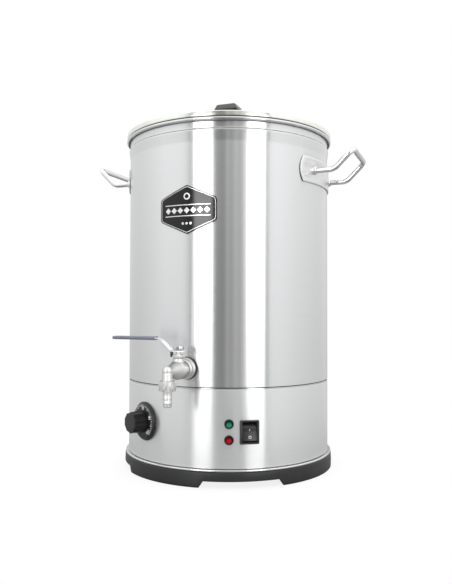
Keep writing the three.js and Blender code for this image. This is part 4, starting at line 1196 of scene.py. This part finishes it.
def build_lamp(colour):
    body = f"{colour}_lamp_body"
    place = wall_place(body)
    bezel = turned([
        (0, -14), (3.6, -14), (3.6, -9), (5, -9), (5, 0.3), (6.3, 0.3), (6.3, 1.5), (5.5, 2.5), (4.9, 2.4),
        (4.6, 1), (0, 1),
    ], 64, 0.3)
    make(f"{colour}_lamp_bezel", on_wall(outwards(bezel), *place), MATERIALS["dark_plastic"], "kettle",
         [body])
    facets = 8
    loops = []
    profile = [
        (4.3, 1.3, 0), (4.35, 2.1, 0), (3.7, 3.2, 0.05), (2.5, 4.0, 0.1), (1.1, 4.45, 0.1), (0.2, 4.6, 0),
    ]
    for radius, out, waviness in profile:
        loops.append([
            polar(radius * (1 - waviness * abs(math.sin(facets * angle / 2))), angle, out)
            for angle in full_turn(facets * 8)
        ])
    make(f"{colour}_lamp_lens_moulded", on_wall(outwards(lofted(loops)), *place), MATERIALS[f"{colour}_lens"],
         "kettle", [f"{colour}_lamp_lens"], sharp=22)


def build_switch():
    place = wall_place("switch_housing")
    face = 2.5
    bezel = slab(rounded_rectangle(25.5, 31, 1.6), 0.3, face)
    body = slab(rounded_rectangle(21.6, 27.6, 1), -21, 0.5)
    pocket = slab(rounded_rectangle(19.4, 26.8, 0.8), -8, 8)
    make("switch_housing_moulded", on_wall(outwards(merged(bezel, body)), *place),
         MATERIALS["dark_plastic"], "kettle", ["switch_housing"],
         cutters=[on_wall(outwards(pocket), *place)], bevel=0.5, segments=3, union=True)

    pivot = 3
    tip = -9
    width = 18.6
    ridge, ridge_out = 5, 5.4
    hollow_out = 4.4
    foot, foot_out = -11.9, 5.9
    outline = softened([
        (-1.8, -9.4), (2.2, -12), (foot_out, foot), (hollow_out, 0), (ridge_out, ridge), (2.6, 10.4),
        (-1.8, 9.4), (-4, 0),
    ], 0.5, steps=3)
    profile = [[Vector((side * width / 2, -out, up)) for out, up in outline] for side in (-1, 1)]
    tilt = Matrix.Translation((0, pivot, 0)) @ Matrix.Rotation(math.radians(tip), 4, "X")
    rocker = moved(lofted(profile), tilt)
    make("switch_rocker_moulded", on_wall(rocker, *place), MATERIALS["dark_plastic"], "power_rocker",
         ["switch_rocker"], bevel=0.3)

    def on_face(part, up):
        """Lays a mark, drawn flat, on the rocker's face at a height above its pivot."""
        end, end_out = (ridge, ridge_out) if up > 0 else (foot, foot_out)
        slope = (end_out - hollow_out) / end
        laid = moved(outwards(part), Matrix.Rotation(math.atan(slope), 4, "X"))
        return moved(shifted(laid, y=-hollow_out - slope * up, z=up), tilt)

    line = slab(rounded_rectangle(0.4, 2.6, 0.18, 3), -0.1, 0.09)
    circle = ring(1.4, 1.85, -0.1, 0.09, 40)
    marks = merged(on_face(line, 2.0), on_face(circle, -7.2))
    make("switch_marks_printed", on_wall(marks, *place), PRINT_WHITE_PAINTED_GLOW, "power_rocker")


# ---------------------------------------------------------------- CAD pieces that keep their shape
KEPT = {
    "zinc": ("foot_screw_1", "foot_screw_2", "foot_screw_3", "foot_screw_4", "lid_screw", "thermostat_shaft",
             "thermostat_screw_lower", "thermostat_screw_upper"),
    "aluminium": ("heat_spreader",),
    "cast_steel": ("heating_element",),
    "white_plastic": ("boil_dry_cutout", "terminal_block", "thermostat_body"),
    "copper": ("thermostat_bulb",),
    "dark_plastic": ("cable_gland_nut",),
    "silicone": ("lid_washer_upper", "lid_washer_lower", "tap_washer_inner", "hose_washer"),
    "ptfe": ("tap_seat_back", "tap_seat_front"),
    "polished_steel": ("tap_ball",),
}


def finish_kept_nodes():
    for slot, names in KEPT.items():
        for name in names:
            NODES[name].material_slots[0].material = MATERIALS[slot]
            NODES[name].data.set_sharp_from_angle(angle=math.radians(40))


# ---------------------------------------------------------------- studio
CAMERA_AZIMUTH = 20.8
CAMERA_DISTANCE = 0.9916            # metres from the kettle's axis
CAMERA_HEIGHT = 0.2327
CAMERA_PITCH = 1.428
CAMERA_ROLL = 0.127


def build_camera():
    data = bpy.data.cameras.new("Camera")
    data.lens = 39.73
    data.sensor_width = 36
    data.shift_x = -0.0044
    data.shift_y = 0.0009
    camera = bpy.data.objects.new("Camera", data)
    bpy.context.scene.collection.objects.link(camera)
    place = AXIS + circle_point(CAMERA_DISTANCE, CAMERA_AZIMUTH, CAMERA_HEIGHT)
    turns = ((CAMERA_AZIMUTH, "Z"), (90 + CAMERA_PITCH, "X"), (CAMERA_ROLL, "Z"))
    camera.matrix_world = Matrix.Translation(place)
    for angle, axis in turns:
        camera.matrix_world = camera.matrix_world @ Matrix.Rotation(math.radians(angle), 4, axis)
    bpy.context.scene.camera = camera


def floor_material():
    """Paper lit from behind: to the camera it is white with a faint shadow, to the steel it is grey."""
    material = new_material("floor_paper", (0.38, 0.38, 0.38), 0.8)
    vary_colour(material, noise(material, 5), 0.99, 1.0)
    tree = material.node_tree
    glow = add_node(tree, "Emission", Strength=1)
    white = add_node(tree, "BsdfDiffuse", Color=(0.95, 0.95, 0.95, 1))
    shadow_share = 0.16
    seen = add_node(tree, "MixShader", shadow_share, glow.outputs[0], white.outputs[0])
    camera_ray = add_node(tree, "LightPath").outputs["Is Camera Ray"]
    choose = add_node(tree, "MixShader", camera_ray, shader(material).outputs[0], seen.outputs[0])
    plug(tree, choose.outputs[0], tree.nodes["Material Output"].inputs["Surface"])
    return material


def build_floor():
    radius = 0.42
    mesh = bpy.data.meshes.new("Floor")
    shape = bmesh.new()
    bmesh.ops.create_circle(shape, cap_ends=True, radius=radius, segments=128)
    bmesh.ops.translate(shape, verts=shape.verts, vec=AXIS)
    shape.to_mesh(mesh)
    shape.free()
    floor = bpy.data.objects.new("Floor", mesh)
    bpy.context.scene.collection.objects.link(floor)
    mesh.materials.append(floor_material())


# Brightness round the kettle, by degrees to the right of the camera: two tall panels with the dark of the
# room and the camera between them, and paler walls beyond.
SURROUND = [
    (-180, 0.3), (-172, 0.6), (-160, 0.8), (-150, 0.86), (-120, 0.94), (-105, 1.0), (-90, 1.08), (-77, 1.16),
    (-58, 1.16), (-50, 1.1), (-46, 0.9), (-43, 0.6), (-38, 0.6), (-17, 0.33), (-4.6, 0.25), (-1.3, 0.63),
    (2.1, 0.34), (5.4, 0.53), (8.8, 0.7), (12.2, 0.4), (15.6, 0.72), (18.9, 1.0), (40, 0.42), (43.5, 0.42),
    (46, 1.25), (60, 1.27), (80, 1.15), (120, 1.0), (150, 0.95), (180, 0.3),
]
# Share of that brightness by the height of the direction (the sine of its elevation).
RISE = [
    (-1, 0.15), (-0.75, 0.2), (-0.5, 0.55), (-0.3, 0.66), (-0.08, 0.78), (0.08, 0.92), (0.3, 1.06), (1, 1.3),
]
# Where the two light panels stand, and how bright they are by height. The lamps in them sit in a narrow band.
PANELS = [
    (-180, 0), (-38.6, 0), (-37.8, 1), (-18.5, 1), (-17.6, 0),
    (20, 0), (21, 1), (39.6, 1), (40.4, 0), (180, 0),
]
PANEL_RISE = [
    (-1, 0.4), (-0.5, 0.7), (-0.22, 1.1), (-0.1, 1.35), (0.05, 1.8),
    (0.1, 9.5), (0.2, 9.5), (0.25, 1.4), (0.29, 1.1), (1, 1),
]
CEILING = 1.5
GAIN = 3.2                          # colour ramps stop at 1, so brightness is divided by this and put back
ALL_ROUND = (-180, 180)
ALL_HEIGHTS = (-1, 1)


def ramp(tree, stops, span, factor, divisor):
    """A grey ramp through stops of (place in the span, brightness)."""
    node = add_node(tree, "ValToRGB", factor)
    elements = node.color_ramp.elements
    while len(elements) < len(stops):
        elements.new(0.5)
    low, high = span
    for element, (where, _) in zip(elements, stops):
        element.position = (where - low) / (high - low)
    in_order = sorted(elements, key=lambda element: element.position)
    for element, (_, brightness) in zip(in_order, stops):
        element.color = [brightness / divisor] * 3 + [1]
    return node.outputs["Color"]


def build_world():
    world = bpy.data.worlds.new("Studio")
    bpy.context.scene.world = world
    world.use_nodes = True
    tree = world.node_tree
    tree.nodes.clear()

    def maths(operation, *values):
        return add_node(tree, "Math", *values, operation=operation).outputs[0]

    direction = add_node(tree, "TexCoord").outputs["Generated"]
    split = add_node(tree, "SeparateXYZ", direction).outputs
    azimuth = maths("ARCTAN2", split["X"], maths("MULTIPLY", split["Y"], -1))
    turns = maths("DIVIDE", azimuth, 2 * math.pi)
    position = maths("FRACT", maths("ADD", turns, 1.5 - CAMERA_AZIMUTH / 360))
    height = maths("MULTIPLY_ADD", split["Z"], 0.5, 0.5)

    # Towards the floor the room falls into shadow; overhead a broad pale ceiling takes over.
    all_walls = ramp(tree, SURROUND, ALL_ROUND, position, GAIN)
    room = mixed(tree, "MULTIPLY", 1, all_walls, ramp(tree, RISE, ALL_HEIGHTS, height, GAIN))
    lamps = ramp(tree, PANEL_RISE, ALL_HEIGHTS, height, GAIN ** 2)
    walls = mixed(tree, "MIX", ramp(tree, PANELS, ALL_ROUND, position, 1), room, lamps)
    ceiling = [CEILING / GAIN ** 2] * 3 + [1]
    surroundings = mixed(tree, "MIX", mapped(tree, split["Z"], 0.35, 0.9), walls, ceiling)

    light = add_node(tree, "Background", Strength=GAIN ** 2, Color=surroundings)
    plain = add_node(tree, "Background", Color=(1, 1, 1, 1))
    camera_ray = add_node(tree, "LightPath").outputs["Is Camera Ray"]
    choose = add_node(tree, "MixShader", camera_ray, light.outputs[0], plain.outputs[0])
    add_node(tree, "OutputWorld", Surface=choose.outputs[0])


build_vessel_wall()
build_vessel_floor()
build_lower_housing()
build_base_pan()
build_foot_ring()
build_cable_gland()
build_lid()
for hand in ("left", "right"):
    build_handle(hand)
build_badge()
build_tap()
build_thermostat()
for lamp_colour in ("green", "red"):
    build_lamp(lamp_colour)
build_switch()
finish_kept_nodes()
build_floor()
build_world()
build_camera()
bpy.context.scene.view_settings.view_transform = "Standard"
